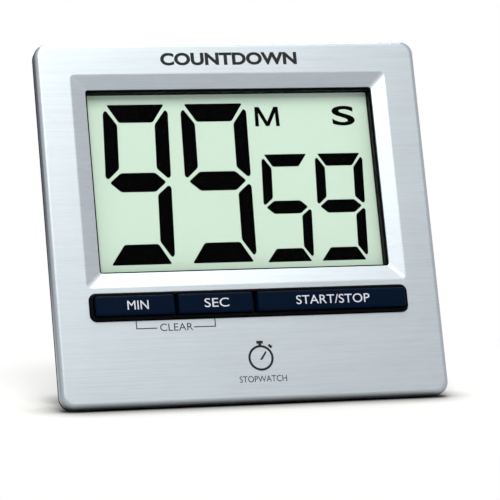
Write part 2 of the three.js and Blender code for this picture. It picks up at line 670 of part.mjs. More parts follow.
/** Blade of a contact: a sheet across the end of the bay with a tab through the bay wall. */
function contactBlade(side) {
  const face = side * (bayHalfLength - SEAT);
  const inner = face - side * CONTACT_SHEET;
  const bladeFront = bayFront + BAY_WALL + 0.6;
  const tabFront = bladeFront + 0.1;
  const sheet = block(Math.min(face, inner), Math.max(face, inner), bladeFront, cellY + cellRadius - 0.6,
    cellZ - CONTACT_HEIGHT / 2, cellZ + CONTACT_HEIGHT / 2);
  const outer = side * (bayHalfLength + BAY_WALL + CONTACT_TAB_REACH);
  const tab = block(Math.min(inner, outer), Math.max(inner, outer), tabFront, tabFront + CONTACT_SHEET,
    cellZ - CONTACT_TAB / 2, cellZ + CONTACT_TAB / 2);
  return sheet.add(tab);
}

/** Helix that narrows as it rises, for the spring contact. */
class ConicalHelix extends THREE.Curve {
  constructor(baseRadius, tipRadius, height, turns) {
    super();
    this.baseRadius = baseRadius;
    this.tipRadius = tipRadius;
    this.height = height;
    this.turns = turns;
  }

  getPoint(t, target = new THREE.Vector3()) {
    const radius = THREE.MathUtils.lerp(this.baseRadius, this.tipRadius, t);
    const angle = 2 * Math.PI * this.turns * t;
    return target.set(this.height * t, radius * Math.cos(angle), radius * Math.sin(angle));
  }
}

/** Contact with a conical spring that presses on the flat end of the cell. */
function springContact() {
  const root = -bayHalfLength + SEAT + CONTACT_SHEET;
  const reach = SPRING_ROOM - CONTACT_SHEET - 3 * SEAT - SPRING_WIRE;
  const section = new THREE.Shape().absarc(0, 0, SPRING_WIRE, 0, 2 * Math.PI, false);
  const coil = new THREE.ExtrudeGeometry(section, {
    steps: 36, curveSegments: 3,
    extrudePath: new ConicalHelix(SPRING_ROOT, SPRING_TIP, reach - SPRING_WIRE, SPRING_TURNS),
  });
  return contactBlade(-1).add(solid(coil.translate(root + SPRING_WIRE / 2, cellY, cellZ)));
}

/** Contact with a raised dimple that meets the nub of the cell. */
function plateContact() {
  const dimple = crossBar(bayHalfLength - SEAT - 2 * CONTACT_SHEET, bayHalfLength - SEAT - CONTACT_SHEET / 2,
    cellY, cellZ, DIMPLE_RADIUS, 12);
  return contactBlade(1).add(dimple);
}

/** Pan-head screw with a cross recess, its head facing the back. */
function screw(x, z, headFront, headRadius, headHeight, length) {
  const shank = bar(x, z, SCREW_SHANK, headFront - length, headFront + headHeight / 2, 10);
  const head = turned([[0, 0], [headRadius, 0], [headRadius, headHeight * 0.5],
    [headRadius * 0.7, headHeight], [0, headHeight]], x, headFront, z, 16);
  const reach = headRadius * 0.6;
  const half = SCREW_RECESS / 2;
  const deep = headFront + headHeight * 0.4;
  return shank.add(head)
    .subtract(block(x - reach, x + reach, deep, FAR, z - half, z + half))
    .subtract(block(x - half, x + half, deep, FAR, z - reach, z + reach));
}

// ---- Materials

/** Plain surface with its colour, roughness and metalness. */
function finish(color, roughness, metalness = 0) {
  return new THREE.MeshStandardMaterial({ color, roughness, metalness });
}

const brushedMetal = finish(0xc6ccd0, 0.38, 0.9);
const blackPlastic = finish(0x0c0d10, 0.45);
const greyPlastic = finish(0x2a2c30, 0.6);
const keyPlastic = finish(0x131d2c, 0.4);
const clearPlastic = finish(0xf4f8f6, 0.05);
const glass = finish(0xe6f2ea, 0.05);
const reflectorFilm = finish(0xcfe9d2, 0.55);
const whitePlastic = finish(0xdcdcd8, 0.5);
const elastomer = finish(0xb9786a, 0.8);
const boardGreen = finish(0x1f5c35, 0.5);
const epoxy = finish(0x0b0b0b, 0.35);
const steel = finish(0xa9adb0, 0.3, 1);
const nickel = finish(0xbfc2c2, 0.25, 1);
const brass = finish(0xc9a24b, 0.3, 1);
const ceramic = finish(0xe6e1d6, 0.6);
const silicone = finish(0x8b8f93, 0.85);
const magnetCoat = finish(0x8f9396, 0.3, 1);
const cellWrap = finish(0x3c4a52, 0.4);
const redWire = finish(0xa31919, 0.5);
const blackWire = finish(0x141414, 0.5);

// ---- Assembly

const unit = new THREE.Group();

/** Add one named piece to the unit. */
function place(name, body, material) {
  const mesh = new THREE.Mesh(toGeometry(body), material);
  mesh.name = name;
  unit.add(mesh);
}

place('face_plate', facePlate(), brushedMetal);
place('front_housing', frontHousing(), blackPlastic);
place('display_lens', displayLens(), clearPlastic);
place('lcd_front_glass', displaySheet(glassBase, frontGlassY, FRONT_GLASS), glass);
place('lcd_back_glass', displaySheet(backGlassBase, backGlassY, BACK_GLASS), glass);
place('lcd_reflector', displaySheet(backGlassBase, reflectorY, REFLECTOR), reflectorFilm);
place('lcd_retainer', lcdRetainer(), whitePlastic);
place('zebra_strip', zebraStrip(), elastomer);
place('circuit_board', circuitBoard(), boardGreen);
for (const key of keys) {
  place(key.name, keyCap(key), keyPlastic);
}
place('silicone_keypad', siliconeKeypad(), silicone);
place('controller_chip', controllerChip(), epoxy);
place('clock_crystal', clockCrystal(), steel);
place('bypass_capacitor', bypassCapacitor(), greyPlastic);
place('rear_housing', rearHousing(), greyPlastic);
place('battery_door', batteryDoor(), greyPlastic);
place('battery_cell', batteryCell(), cellWrap);
place('battery_spring_contact', springContact(), nickel);
place('battery_plate_contact', plateContact(), nickel);
place('stand_leg', standLeg(), greyPlastic);
place('stand_hinge_pin', hingePin(), steel);
[['magnet_left', -MAGNET_X], ['magnet_right', MAGNET_X]].forEach(([name, x]) => {
  place(name, bar(x, magnetZ, MAGNET_RADIUS, backY - MAGNET_THICKNESS + SEAT, backY + MAGNET_PROUD, 24),
    magnetCoat);
});

const piezoBack = backWallFront - CASE_WALL - SEAT;
place('piezo_disc', bar(BUZZER_X, BUZZER_Z, PIEZO_RADIUS, piezoBack - PIEZO_DISC, piezoBack, 24), brass);
const elementBack = piezoBack - PIEZO_DISC - SEAT;
const elementFront = elementBack - PIEZO_ELEMENT;
place('piezo_element', bar(BUZZER_X, BUZZER_Z, 0.7 * PIEZO_RADIUS, elementFront, elementBack, 20), ceramic);

[-screwX, screwX].forEach((x, index) => {
  place(`case_screw_${index + 1}`, screw(x, SCREW_Z, backY - SCREW_WELL + SEAT, SCREW_HEAD, SCREW_HEAD_HEIGHT,
    backY - SCREW_WELL - wallBack - 2), steel);
});
[-BOARD_SCREW_SPAN, 0, BOARD_SCREW_SPAN].forEach((x, index) => {
  place(`board_screw_${index + 1}`, screw(x, BOARD_SCREW_Z, boardBack + SEAT, BOARD_SCREW_HEAD,
    BOARD_SCREW_HEAD_HEIGHT, BOARD + 3), steel);
});

// Leads: each starts clear of its contact or buzzer and ends just off the board.
const tabX = bayHalfLength + BAY_WALL + CONTACT_TAB_REACH + 0.7;
const tabY = bayFront + BAY_WALL + 0.9;
const leadY = boardBack + 0.9;
const batteryLeads = [['battery_lead_positive', 1, redWire], ['battery_lead_negative', -1, blackWire]];
batteryLeads.forEach(([name, side, skin]) => {
  const route = [[side * tabX, tabY, cellZ], [side * (tabX + 1), tabY, cellZ - 8],
    [side * (tabX - 1), leadY + 1.4, BOARD_TOP + 8], [side * (tabX - 2), leadY, BOARD_TOP - 3]];
  place(name, wire(route, BATTERY_LEAD), skin);
});
[['buzzer_lead_1', -2, redWire], ['buzzer_lead_2', 2, blackWire]].forEach(([name, dx, skin]) => {
  const start = elementFront - 0.7;
  const route = [[BUZZER_X + dx, start, BUZZER_Z + 1], [BUZZER_X + dx, start - 2.5, BUZZER_Z + 4],
    [BUZZER_X + dx + 2, leadY + 2, BUZZER_Z + 6], [BUZZER_X + dx + 4, leadY, BUZZER_Z + 3]];
  place(name, wire(route, BUZZER_LEAD), skin);
});

// ---- Lean the unit back, and set it down with the middle of its box over the origin

unit.rotation.x = -LEAN;
const timer = new THREE.Group();
timer.add(unit);
timer.updateMatrixWorld(true);
const bounds = new THREE.Box3().setFromObject(timer, true);
timer.position.set(-(bounds.min.x + bounds.max.x) / 2, -(bounds.min.y + bounds.max.y) / 2, -bounds.min.z);

export default timer;
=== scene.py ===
"""A laboratory countdown timer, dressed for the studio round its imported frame.

Every piece is modelled upright in the face's own millimetres: x runs to the right, y runs back
from the face, and z runs up the face from its lower edge. FaceFrame then leans it back into
the shared frame, in metres.
"""

from __future__ import annotations

import json
import logging
import math
from dataclasses import dataclass, replace
from enum import Enum
from typing import Iterable, Optional, Sequence, Union

import bmesh
import bpy
from mathutils import Matrix, Vector

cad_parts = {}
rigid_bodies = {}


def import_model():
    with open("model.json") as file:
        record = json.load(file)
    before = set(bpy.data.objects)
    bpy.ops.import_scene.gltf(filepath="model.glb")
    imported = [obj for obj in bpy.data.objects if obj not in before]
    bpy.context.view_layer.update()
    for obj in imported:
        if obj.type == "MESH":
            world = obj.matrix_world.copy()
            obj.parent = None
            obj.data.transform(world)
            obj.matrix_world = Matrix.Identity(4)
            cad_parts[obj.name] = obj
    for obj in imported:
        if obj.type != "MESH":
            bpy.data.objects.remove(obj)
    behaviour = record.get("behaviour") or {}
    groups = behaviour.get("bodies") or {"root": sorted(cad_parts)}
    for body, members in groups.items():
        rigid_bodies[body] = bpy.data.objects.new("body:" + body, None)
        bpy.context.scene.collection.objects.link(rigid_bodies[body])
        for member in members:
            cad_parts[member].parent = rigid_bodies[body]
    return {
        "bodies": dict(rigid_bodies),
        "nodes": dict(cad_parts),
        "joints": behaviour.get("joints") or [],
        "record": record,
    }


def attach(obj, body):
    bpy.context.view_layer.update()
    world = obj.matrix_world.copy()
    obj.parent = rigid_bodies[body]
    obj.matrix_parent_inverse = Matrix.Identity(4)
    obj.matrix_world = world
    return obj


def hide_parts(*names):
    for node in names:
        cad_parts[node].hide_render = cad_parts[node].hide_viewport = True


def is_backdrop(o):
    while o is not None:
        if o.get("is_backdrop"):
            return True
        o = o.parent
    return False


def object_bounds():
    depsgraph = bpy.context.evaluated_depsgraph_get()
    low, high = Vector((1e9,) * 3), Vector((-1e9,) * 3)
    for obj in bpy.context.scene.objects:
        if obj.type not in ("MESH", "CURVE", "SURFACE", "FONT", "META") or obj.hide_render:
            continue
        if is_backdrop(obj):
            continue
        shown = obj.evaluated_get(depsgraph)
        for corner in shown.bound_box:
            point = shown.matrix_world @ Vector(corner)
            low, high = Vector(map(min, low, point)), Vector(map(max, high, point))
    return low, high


log = logging.getLogger("lab_timer")

MM = 0.001
ARC = 8  # segments of a rounded corner
TOUCH = 1e-4  # millimetres within which two places count as one
CLEAR = 1.0  # millimetres that a cutter reaches past the surface that it opens
LEAST_CORNER = 0.06  # millimetres, the smallest corner that still has its full count of vertices
CASE_CORNER = 5.0  # corner radius of the rear shell, in millimetres
CASE_EDGE = 2.4  # radius of the rear shell's back edge, in millimetres
DRAWN_STEM = 3.25  # millimetres, the stem that the cuts of a figure's segments were drawn for
LEG_SPLAY = 12.0  # open leg from the vertical, in degrees

MAGNET_NODES = {"magnet_left": "left_magnet_disc", "magnet_right": "right_magnet_disc"}
CASE_SCREWS = [f"case_screw_{index}" for index in (1, 2)]
BOARD_SCREWS = [f"board_screw_{index}" for index in (1, 2, 3)]
KEYS = (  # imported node, its body, its legend, and the legend's two ends from the middle of the face
    ("key_min", "min_key", "MIN", -30.6, -25.5),
    ("key_sec", "sec_key", "SEC", -11.9, -5.9),
    ("key_start_stop", "start_stop_key", "START/STOP", 10.7, 29.0),
)

Colour = tuple[float, float, float]
Mesh = bmesh.types.BMesh
Piece = bpy.types.Object
Point = tuple[float, float]


# ---------------------------------------------------------------- places on the face


@dataclass(frozen=True)
class Slab:
    """Box in face millimetres.

    Args:
        x0: Left side.
        x1: Right side.
        y0: Front.
        y1: Back.
        z0: Lower side.
        z1: Upper side.
    """

    x0: float
    x1: float
    y0: float
    y1: float
    z0: float
    z1: float

    @property
    def width(self) -> float:
        """Size from left to right."""
        return self.x1 - self.x0

    @property
    def depth(self) -> float:
        """Size from front to back."""
        return self.y1 - self.y0

    @property
    def height(self) -> float:
        """Size up the face."""
        return self.z1 - self.z0

    @property
    def centre(self) -> Vector:
        """Middle of the box."""
        return Vector(((self.x0 + self.x1) / 2, (self.y0 + self.y1) / 2, (self.z0 + self.z1) / 2))

    def grown(self, margin: float, across: Optional[float] = None) -> Slab:
        """Widen the box on the face."""
        side = margin if across is None else across
        return replace(self, x0=self.x0 - side, x1=self.x1 + side, z0=self.z0 - margin, z1=self.z1 + margin)

    def deep(self, y0: float, y1: float) -> Slab:
        """Same outline between other depths."""
        return replace(self, y0=y0, y1=y1)


class FaceFrame:
    """Axes of the leaning face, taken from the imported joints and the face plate."""

    def __init__(self, loaded: dict) -> None:
        """Work out how the face lies.
        """
        axes = {joint["name"]: Vector(joint["axis"]).normalized() for joint in loaded["joints"]}
        self.nodes: dict[str, Piece] = loaded["nodes"]
        self.inward = axes["min_key_press"]
        self.up = axes["door_slide"]
        plate = [vertex.co for vertex in self.nodes["face_plate"].data.vertices]
        front = min(self.inward.dot(point) for point in plate)
        base = min(self.up.dot(point) for point in plate)
        origin = self.inward * front + self.up * base
        right = Vector((1.0, 0.0, 0.0))
        turn = Matrix((right, self.inward, self.up)).transposed()
        self.to_row = Matrix.Translation(origin) @ turn.to_4x4() @ Matrix.Scale(MM, 4)
        self.to_face = self.to_row.inverted()
        self.lean = math.atan2(-self.inward.z, self.inward.y)

    def extent(self, node: str, front: float = -math.inf, back: float = math.inf) -> Slab:
        """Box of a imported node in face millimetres.

        Args:
            node: Name of the node.
            front: Vertices before this depth are left out.
            back: Vertices behind this depth are left out.

        Returns:
            The box of the vertices that are left.
        """
        points = [self.to_face @ vertex.co for vertex in self.nodes[node].data.vertices]
        kept = [point for point in points if front <= point.y <= back]
        low = [min(point[axis] for point in kept) for axis in range(3)]
        high = [max(point[axis] for point in kept) for axis in range(3)]
        return Slab(low[0], high[0], low[1], high[1], low[2], high[2])


# ---------------------------------------------------------------- shaping


class Cut(Enum):
    """How one solid is worked into another."""

    JOIN = "UNION"
    REMOVE = "DIFFERENCE"
    KEEP = "INTERSECT"


def swing(shape: Mesh, angle: float, axis: str) -> None:
    """Turn a whole mesh about an axis through the origin."""
    bmesh.ops.rotate(shape, cent=(0, 0, 0), matrix=Matrix.Rotation(angle, 3, axis), verts=shape.verts)


def fresh_vertices(result: dict, key: str = "geom") -> list[bmesh.types.BMVert]:
    """Vertices that an operator made."""
    return [item for item in result[key] if isinstance(item, bmesh.types.BMVert)]


def outline(shape: Mesh, slab: Slab, y: float, corner: float, steps: int = ARC) -> list[bmesh.types.BMEdge]:
    """Draw a round-cornered rectangle, as a closed loop of edges.

    Args:
        shape: Mesh that takes the loop.
        slab: Box whose outline on the face is drawn.
        y: Depth of the loop.
        corner: Corner radius.
        steps: Segments of each corner.

    Returns:
        The edges of the loop.
    """
    before = set(shape.verts)
    made = bmesh.ops.create_grid(shape, x_segments=1, y_segments=1, size=0.5)["verts"]
    bmesh.ops.scale(shape, vec=(slab.width, slab.height, 1.0), verts=made)
    bmesh.ops.rotate(shape, cent=(0, 0, 0), matrix=Matrix.Rotation(math.pi / 2, 3, "X"), verts=made)
    bmesh.ops.translate(shape, vec=(slab.centre.x, y, slab.centre.z), verts=made)
    bmesh.ops.bevel(shape, geom=made, offset=corner, offset_type="OFFSET", affect="VERTICES",
                    segments=steps, profile=0.5, material=-1)
    new = [vertex for vertex in shape.verts if vertex not in before]
    edges = list(dict.fromkeys(edge for vertex in new for edge in vertex.link_edges))
    faces = list(dict.fromkeys(face for vertex in new for face in vertex.link_faces))
    bmesh.ops.delete(shape, geom=faces, context="FACES_ONLY")
    return edges


def skin(shape: Mesh, loops: Sequence[list[bmesh.types.BMEdge]]) -> None:
    """Cover the strips between loops that follow each other."""
    for first, second in zip(loops, loops[1:]):
        bmesh.ops.bridge_loops(shape, edges=first + second)


def face_out(shape: Mesh) -> Mesh:
    """Merge doubles and turn every face outwards."""
    bmesh.ops.remove_doubles(shape, verts=shape.verts[:], dist=TOUCH)
    bmesh.ops.recalc_face_normals(shape, faces=shape.faces[:])
    return shape


def lofted(levels: Sequence[tuple[Slab, float, float]], steps: int = ARC) -> Mesh:
    """Closed solid through round-cornered rectangles at several depths.

    Args:
        levels: Outline box, depth and corner radius of each level, in order.
        steps: Segments of each corner.

    Returns:
        The closed mesh.
    """
    shape = bmesh.new()
    loops = [outline(shape, slab, y, corner, steps) for slab, y, corner in levels]
    skin(shape, loops)
    for loop in (loops[0], loops[-1]):
        bmesh.ops.contextual_create(shape, geom=loop)
    return face_out(shape)


def rounded_levels(slab: Slab, corner: float, radius: float, edge: float, inward: int,
                   steps: int = 4) -> list[tuple[Slab, float, float]]:
    """Levels that round an edge over, from the flat towards the side.

    Args:
        slab: Box of the panel.
        corner: Corner radius seen from the front.
        radius: Radius of the rounding.
        edge: Depth of the flat.
        inward: 1 if the solid lies behind the flat, -1 if it lies before it.
        steps: Segments of the rounding.

    Returns:
        Outline box, depth and corner radius of each level.
    """
    levels = []
    for index in range(steps + 1):
        angle = math.pi / 2 * index / steps
        margin = -radius * (1 - math.sin(angle))
        depth = edge + inward * radius * (1 - math.cos(angle))
        levels.append((slab.grown(margin), depth, max(corner + margin, LEAST_CORNER)))
    return levels


def panel(slab: Slab, corner: float, front_round: float = 0.0, back_round: float = 0.0, steps: int = ARC,
          edge_steps: int = 4) -> Mesh:
    """Slab with round corners and, if asked, rounded front or back edges.

    Args:
        slab: Box of the panel.
        corner: Corner radius seen from the front.
        front_round: Radius of the front edge.
        back_round: Radius of the back edge.
        steps: Segments of each corner.
        edge_steps: Segments of each rounded edge.

    Returns:
        The closed mesh.
    """
    front = [(slab, slab.y0, corner)]
    back = [(slab, slab.y1, corner)]
    if front_round:
        front = rounded_levels(slab, corner, front_round, slab.y0, 1, edge_steps)
    if back_round:
        back = rounded_levels(slab, corner, back_round, slab.y1, -1, edge_steps)[::-1]
    return lofted(front + back, steps)


def block(slab: Slab, bevel: float = 0.0) -> Mesh:
    """Plain block, with every edge eased if asked.

    Args:
        slab: Box of the block.
        bevel: Radius of its edges.

    Returns:
        The closed mesh.
    """
    shape = bmesh.new()
    bmesh.ops.create_cube(shape, size=1.0)
    bmesh.ops.scale(shape, vec=(slab.width, slab.depth, slab.height), verts=shape.verts)
    bmesh.ops.translate(shape, vec=slab.centre, verts=shape.verts)
    if bevel:
        bmesh.ops.bevel(shape, geom=shape.edges[:], offset=bevel, offset_type="OFFSET", affect="EDGES",
                        segments=3, profile=0.5, material=-1)
    return shape


def turned(profile: Sequence[Point], x: float, y: float, z: float, sides: int = 48,
           along_x: bool = False) -> Mesh:
    """Solid of revolution about an axis that runs back from the face.

    Args:
        profile: Radius and distance along the axis, from axis to axis.
        x: Place of the axis.
        y: Depth that the profile's distances count from.
        z: Height of the axis.
        sides: Steps of the full turn.
        along_x: Turn about an axis that runs to the right instead.

    Returns:
        The closed mesh.
    """
    shape = bmesh.new()
    points = [shape.verts.new((radius, distance, 0.0)) for radius, distance in profile]
    edges = [shape.edges.new(pair) for pair in zip(points, points[1:])]
    bmesh.ops.spin(shape, geom=points + edges, cent=(0, 0, 0), axis=(0, 1, 0), dvec=(0, 0, 0),
                   angle=2 * math.pi, steps=sides, use_merge=True)
    if along_x:
        swing(shape, -math.pi / 2, "Z")
    bmesh.ops.translate(shape, vec=(x, y, z), verts=shape.verts)
    return face_out(shape)


def rod(x: float, z: float, radius: float, y0: float, y1: float, sides: int = 32) -> Mesh:
    """Round bar running back from the face."""
    return turned([(0, 0), (radius, 0), (radius, y1 - y0), (0, y1 - y0)], x, y0, z, sides)


def cross_rod(x0: float, x1: float, y: float, z: float, radius: float, sides: int = 32) -> Mesh:
    """Round bar running to the right."""
    return turned([(0, 0), (radius, 0), (radius, x1 - x0), (0, x1 - x0)], x0, y, z, sides, along_x=True)


def cut_out(points: Sequence[Point], y0: float, y1: float, round_corners: float = 0.0) -> Mesh:
    """Flat shape drawn on the face and given a thickness.

    Args:
        points: Corners as places to the right and up the face.
        y0: Front.
        y1: Back.
        round_corners: Radius that eases the corners.

    Returns:
        The closed mesh.
    """
    shape = bmesh.new()
    shape.faces.new([shape.verts.new((x, y0, z)) for x, z in points])
    if round_corners:
        bmesh.ops.bevel(shape, geom=shape.verts[:], offset=round_corners, offset_type="OFFSET",
                        affect="VERTICES", segments=4, profile=0.5, material=-1, clamp_overlap=True)
    raised = bmesh.ops.extrude_face_region(shape, geom=shape.faces[:])
    bmesh.ops.translate(shape, vec=(0, y1 - y0, 0), verts=fresh_vertices(raised))
    return face_out(shape)


def lettering(words: str, slab: Slab, weight: float = 0.0) -> Mesh:
    """Words in the plain built-in face, fitted to a box.

    Args:
        words: What they say.
        slab: Box that their ink fills.
        weight: How far the strokes are fattened, in parts of the letter size.

    Returns:
        The closed mesh of every letter.
    """
    curve = bpy.data.curves.new("lettering", "FONT")
    curve.body = words
    curve.offset = weight
    curve.resolution_u = 6
    holder = bpy.data.objects.new("lettering", curve)
    shape = settled(holder, [holder])
    bmesh.ops.remove_doubles(shape, verts=shape.verts[:], dist=TOUCH)
    low = Vector([min(vertex.co[axis] for vertex in shape.verts) for axis in range(3)])
    high = Vector([max(vertex.co[axis] for vertex in shape.verts) for axis in range(3)])
    size = high - low
    bmesh.ops.translate(shape, vec=-low, verts=shape.verts)
    bmesh.ops.scale(shape, vec=(slab.width / size.x, slab.height / size.y, 1.0), verts=shape.verts)
    swing(shape, math.pi / 2, "X")
    bmesh.ops.translate(shape, vec=(slab.x0, slab.y0, slab.z0), verts=shape.verts)
    raised = bmesh.ops.extrude_face_region(shape, geom=shape.faces[:])
    bmesh.ops.translate(shape, vec=(0, slab.depth, 0), verts=fresh_vertices(raised))
    bmesh.ops.recalc_face_normals(shape, faces=shape.faces[:])
    return shape


def plain_mesh(name: str, shape: Mesh) -> bpy.types.Mesh:
    """Mesh data made from a bmesh, which is used up."""
    mesh = bpy.data.meshes.new(name)
    shape.to_mesh(mesh)
    shape.free()
    return mesh


def in_scene(name: str, data: bpy.types.ID) -> Piece:
    """New object in the scene, made from its data."""
    made = bpy.data.objects.new(name, data)
    bpy.context.scene.collection.objects.link(made)
    return made


def settled(holder: Piece, used: Sequence[Piece]) -> Mesh:
    """Shape of an object once its curve or modifier has done its work.

    Args:
        holder: Object that isn't in the scene yet.
        used: Objects that are thrown away afterwards, with their data.

    Returns:
        The shape.
    """
    bpy.context.scene.collection.objects.link(holder)
    graph = bpy.context.evaluated_depsgraph_get()
    made = bpy.data.meshes.new_from_object(holder.evaluated_get(graph))
    shape = bmesh.new()
    shape.from_mesh(made)
    bpy.data.meshes.remove(made)
    for spent in used:
        bpy.data.batch_remove([spent, spent.data])
    return shape


def gather(shapes: Iterable[Mesh]) -> Mesh:
    """Put several meshes into one.

    Args:
        shapes: Meshes, which are used up.

    Returns:
        One mesh that holds them all.
    """
    whole = bmesh.new()
    for shape in shapes:
        part = plain_mesh("part", shape)
        whole.from_mesh(part)
        bpy.data.meshes.remove(part)
    return whole


def carve(base: Mesh, *works: tuple[Cut, Sequence[Mesh]]) -> Mesh:
    """Work solids into a base, one kind of cut after another.

    Args:
        base: Closed mesh, which is used up.
        works: Each kind of cut with its solids, which are used up.

    Returns:
        The worked mesh.
    """
    for cut, tools in works:
        base = worked(base, cut, tools)
    return base


def worked(base: Mesh, cut: Cut, tools: Sequence[Mesh]) -> Mesh:
    """Work solids into a base by one kind of cut.

    Args:
        base: Closed mesh, which is used up.
        cut: Kind of cut.
        tools: Solids, which are used up.

    Returns:
        The worked mesh.
    """
    group = bpy.data.collections.new("tools")
    holders = [bpy.data.objects.new("held", plain_mesh("held", shape)) for shape in (base, *tools)]
    for holder in holders[1:]:
        group.objects.link(holder)
    working = holders[0].modifiers.new("work", "BOOLEAN")
    working.operation = cut.value
    working.solver = "EXACT"
    working.use_self = True
    working.operand_type = "COLLECTION"
    working.collection = group
    shape = settled(holders[0], holders)
    bpy.data.collections.remove(group)
    bmesh.ops.remove_doubles(shape, verts=shape.verts[:], dist=TOUCH)
    bmesh.ops.dissolve_degenerate(shape, edges=shape.edges[:], dist=TOUCH)
    return shape


# ---------------------------------------------------------------- finishes


class NodeTree:
    """Node tree, with short calls that add nodes and feed them."""

    def __init__(self, tree: bpy.types.NodeTree) -> None:
        """Start with an empty tree.

        Args:
            tree: The tree of a material or a world.
        """
        self.tree = tree
        self.tree.nodes.clear()

    def node(self, kind: str, feeds: Optional[dict] = None, **settings: object) -> bpy.types.Node:
        """Add a node.

        Args:
            kind: Type of the node.
            feeds: Value or socket for each input, by name or number.
            settings: Properties of the node.

        Returns:
            The new node.
        """
        node = self.tree.nodes.new(kind)
        for key, value in settings.items():
            setattr(node, key, value)
        for key, value in (feeds or {}).items():
            if isinstance(value, bpy.types.NodeSocket):
                self.tree.links.new(value, node.inputs[key])
            else:
                node.inputs[key].default_value = value
        return node

    def work_out(self, operation: str, first: object, second: object) -> bpy.types.NodeSocket:
        """Work two numbers into one."""
        return self.node("ShaderNodeMath", {0: first, 1: second}, operation=operation).outputs[0]


class NodeSheet(NodeTree):
    """Node tree of one material, with the patterns that the finishes share."""

    def __init__(self, name: str, lean: float = 0.0) -> None:
        """Start an empty material.

        Args:
            name: Name of the material.
            lean: Lean of the face, so that patterns can follow it.
        """
        self.material = bpy.data.materials.new(name)
        self.material.use_nodes = True
        super().__init__(self.material.node_tree)
        self.output = self.tree.nodes.new("ShaderNodeOutputMaterial")
        self.lean = lean
        self.base: Optional[bpy.types.NodeSocket] = None

    def place(self, stretch: tuple[float, float, float] = (1, 1, 1)) -> bpy.types.NodeSocket:
        """Place on the face in millimetres, stretched along its axes.

        Args:
            stretch: Factor for the place to the right, back and up.

        Returns:
            The socket of the place.
        """
        if self.base is None:
            source = self.node("ShaderNodeTexCoord").outputs["Object"]
            turned_place = self.node("ShaderNodeMapping", {"Vector": source, "Rotation": (self.lean, 0, 0),
                                                           "Scale": (1 / MM, 1 / MM, 1 / MM)})
            self.base = turned_place.outputs["Vector"]
        return self.node("ShaderNodeMapping", {"Vector": self.base, "Scale": stretch}).outputs["Vector"]

    def noise(self, stretch: tuple[float, float, float], detail: float = 3.0,
              rough: float = 0.55) -> bpy.types.NodeSocket:
        """Noise that follows the face."""
        return self.node("ShaderNodeTexNoise", {"Vector": self.place(stretch), "Scale": 1.0,
                                                "Detail": detail, "Roughness": rough}).outputs["Fac"]

    def ramp(self, value: bpy.types.NodeSocket, low: float, high: float) -> bpy.types.NodeSocket:
        """Spread the middle of a noise over a range."""
        return self.node("ShaderNodeMapRange", {"Value": value, "From Min": 0.3, "From Max": 0.7,
                                                "To Min": low, "To Max": high}).outputs["Result"]

    def blend(self, amount: Union[float, bpy.types.NodeSocket], first: object, second: object,
              how: str = "MIX") -> bpy.types.NodeSocket:
        """Mix two colours."""
        first, second = (value if isinstance(value, bpy.types.NodeSocket) else (*value, 1.0)
                         for value in (first, second))
        return self.node("ShaderNodeMix", {0: amount, 6: first, 7: second}, data_type="RGBA",
                         blend_type=how).outputs[2]

    def bump(self, height: bpy.types.NodeSocket, depth: float, strength: float = 1.0,
             under: Optional[bpy.types.NodeSocket] = None) -> bpy.types.NodeSocket:
        """Raise a surface by a pattern.

        Args:
            height: The pattern.
            depth: Millimetres from its lowest to its highest value.
            strength: How much of it is used.
            under: Normal of a coarser pattern below.

        Returns:
            The socket of the normal.
        """
        feeds = {"Height": height, "Distance": depth * MM, "Strength": strength}
        if under is not None:
            feeds["Normal"] = under
        return self.node("ShaderNodeBump", feeds).outputs["Normal"]

    def ended(self, surface: bpy.types.Node) -> bpy.types.Material:
        """End the tree in a shader."""
        self.tree.links.new(surface.outputs[0], self.output.inputs["Surface"])
        return self.material

    def principled(self, feeds: dict) -> bpy.types.Material:
        """End the tree in a plain surface."""
        return self.ended(self.node("ShaderNodeBsdfPrincipled", feeds))


def shaded(tint: Colour, factor: float) -> Colour:
    """Colour made lighter or darker by a factor, no lighter than white."""
    return tuple(min(1.0, value * factor) for value in tint)


@dataclass(frozen=True)
class Finish:
    """What every finish has.

    Args:
        name: Name of the finish.
        slot: Slot of the record that it belongs to.
    """

    name: str
    slot: str

    def build(self, lean: float) -> bpy.types.Material:
        """Make the material.

        Args:
            lean: Lean of the face.

        Returns:
            The material.
        """
        raise NotImplementedError


@dataclass(frozen=True)
class Brushed(Finish):
    """Sheet steel brushed from side to side.

    Args:
        tint: Colour of the metal.
        rough: Roughness between the scratches.
        streak: Waves per millimetre across the grain.
        contrast: Change of brightness from streak to streak.
        depth: Depth of the scratches in millimetres.
    """

    tint: Colour = (0.357, 0.393, 0.423)
    rough: float = 0.42
    streak: float = 3.2
    contrast: float = 0.05
    depth: float = 0.004

    def build(self, lean: float) -> bpy.types.Material:
        """Make the material, as Finish.build says."""
        sheet = NodeSheet(self.name, lean)
        long_streaks = sheet.noise((0.035, 1.0, self.streak), 4.0, 0.65)
        hair_lines = sheet.noise((0.25, 1.0, 3.5 * self.streak), 3.0, 0.6)
        cloud = sheet.noise((0.05, 0.05, 0.07), 2.0)
        tone = sheet.ramp(long_streaks, 1 - self.contrast, 1 + self.contrast)
        fine = sheet.ramp(hair_lines, 1 - self.contrast, 1 + self.contrast)
        drift = sheet.ramp(cloud, 0.985, 1.015)
        level = sheet.work_out("MULTIPLY", sheet.work_out("MULTIPLY", tone, fine), drift)
        grey = sheet.node("ShaderNodeCombineColor", {0: level, 1: level, 2: level}).outputs["Color"]
        colour = sheet.blend(1.0, self.tint, grey, "MULTIPLY")
        normal = sheet.bump(long_streaks, self.depth, 0.5, sheet.bump(hair_lines, self.depth / 2, 0.5))
        return sheet.principled({"Base Color": colour, "Metallic": 1.0, "Normal": normal,
                                 "Roughness": sheet.ramp(hair_lines, self.rough - 0.05, self.rough + 0.05)})


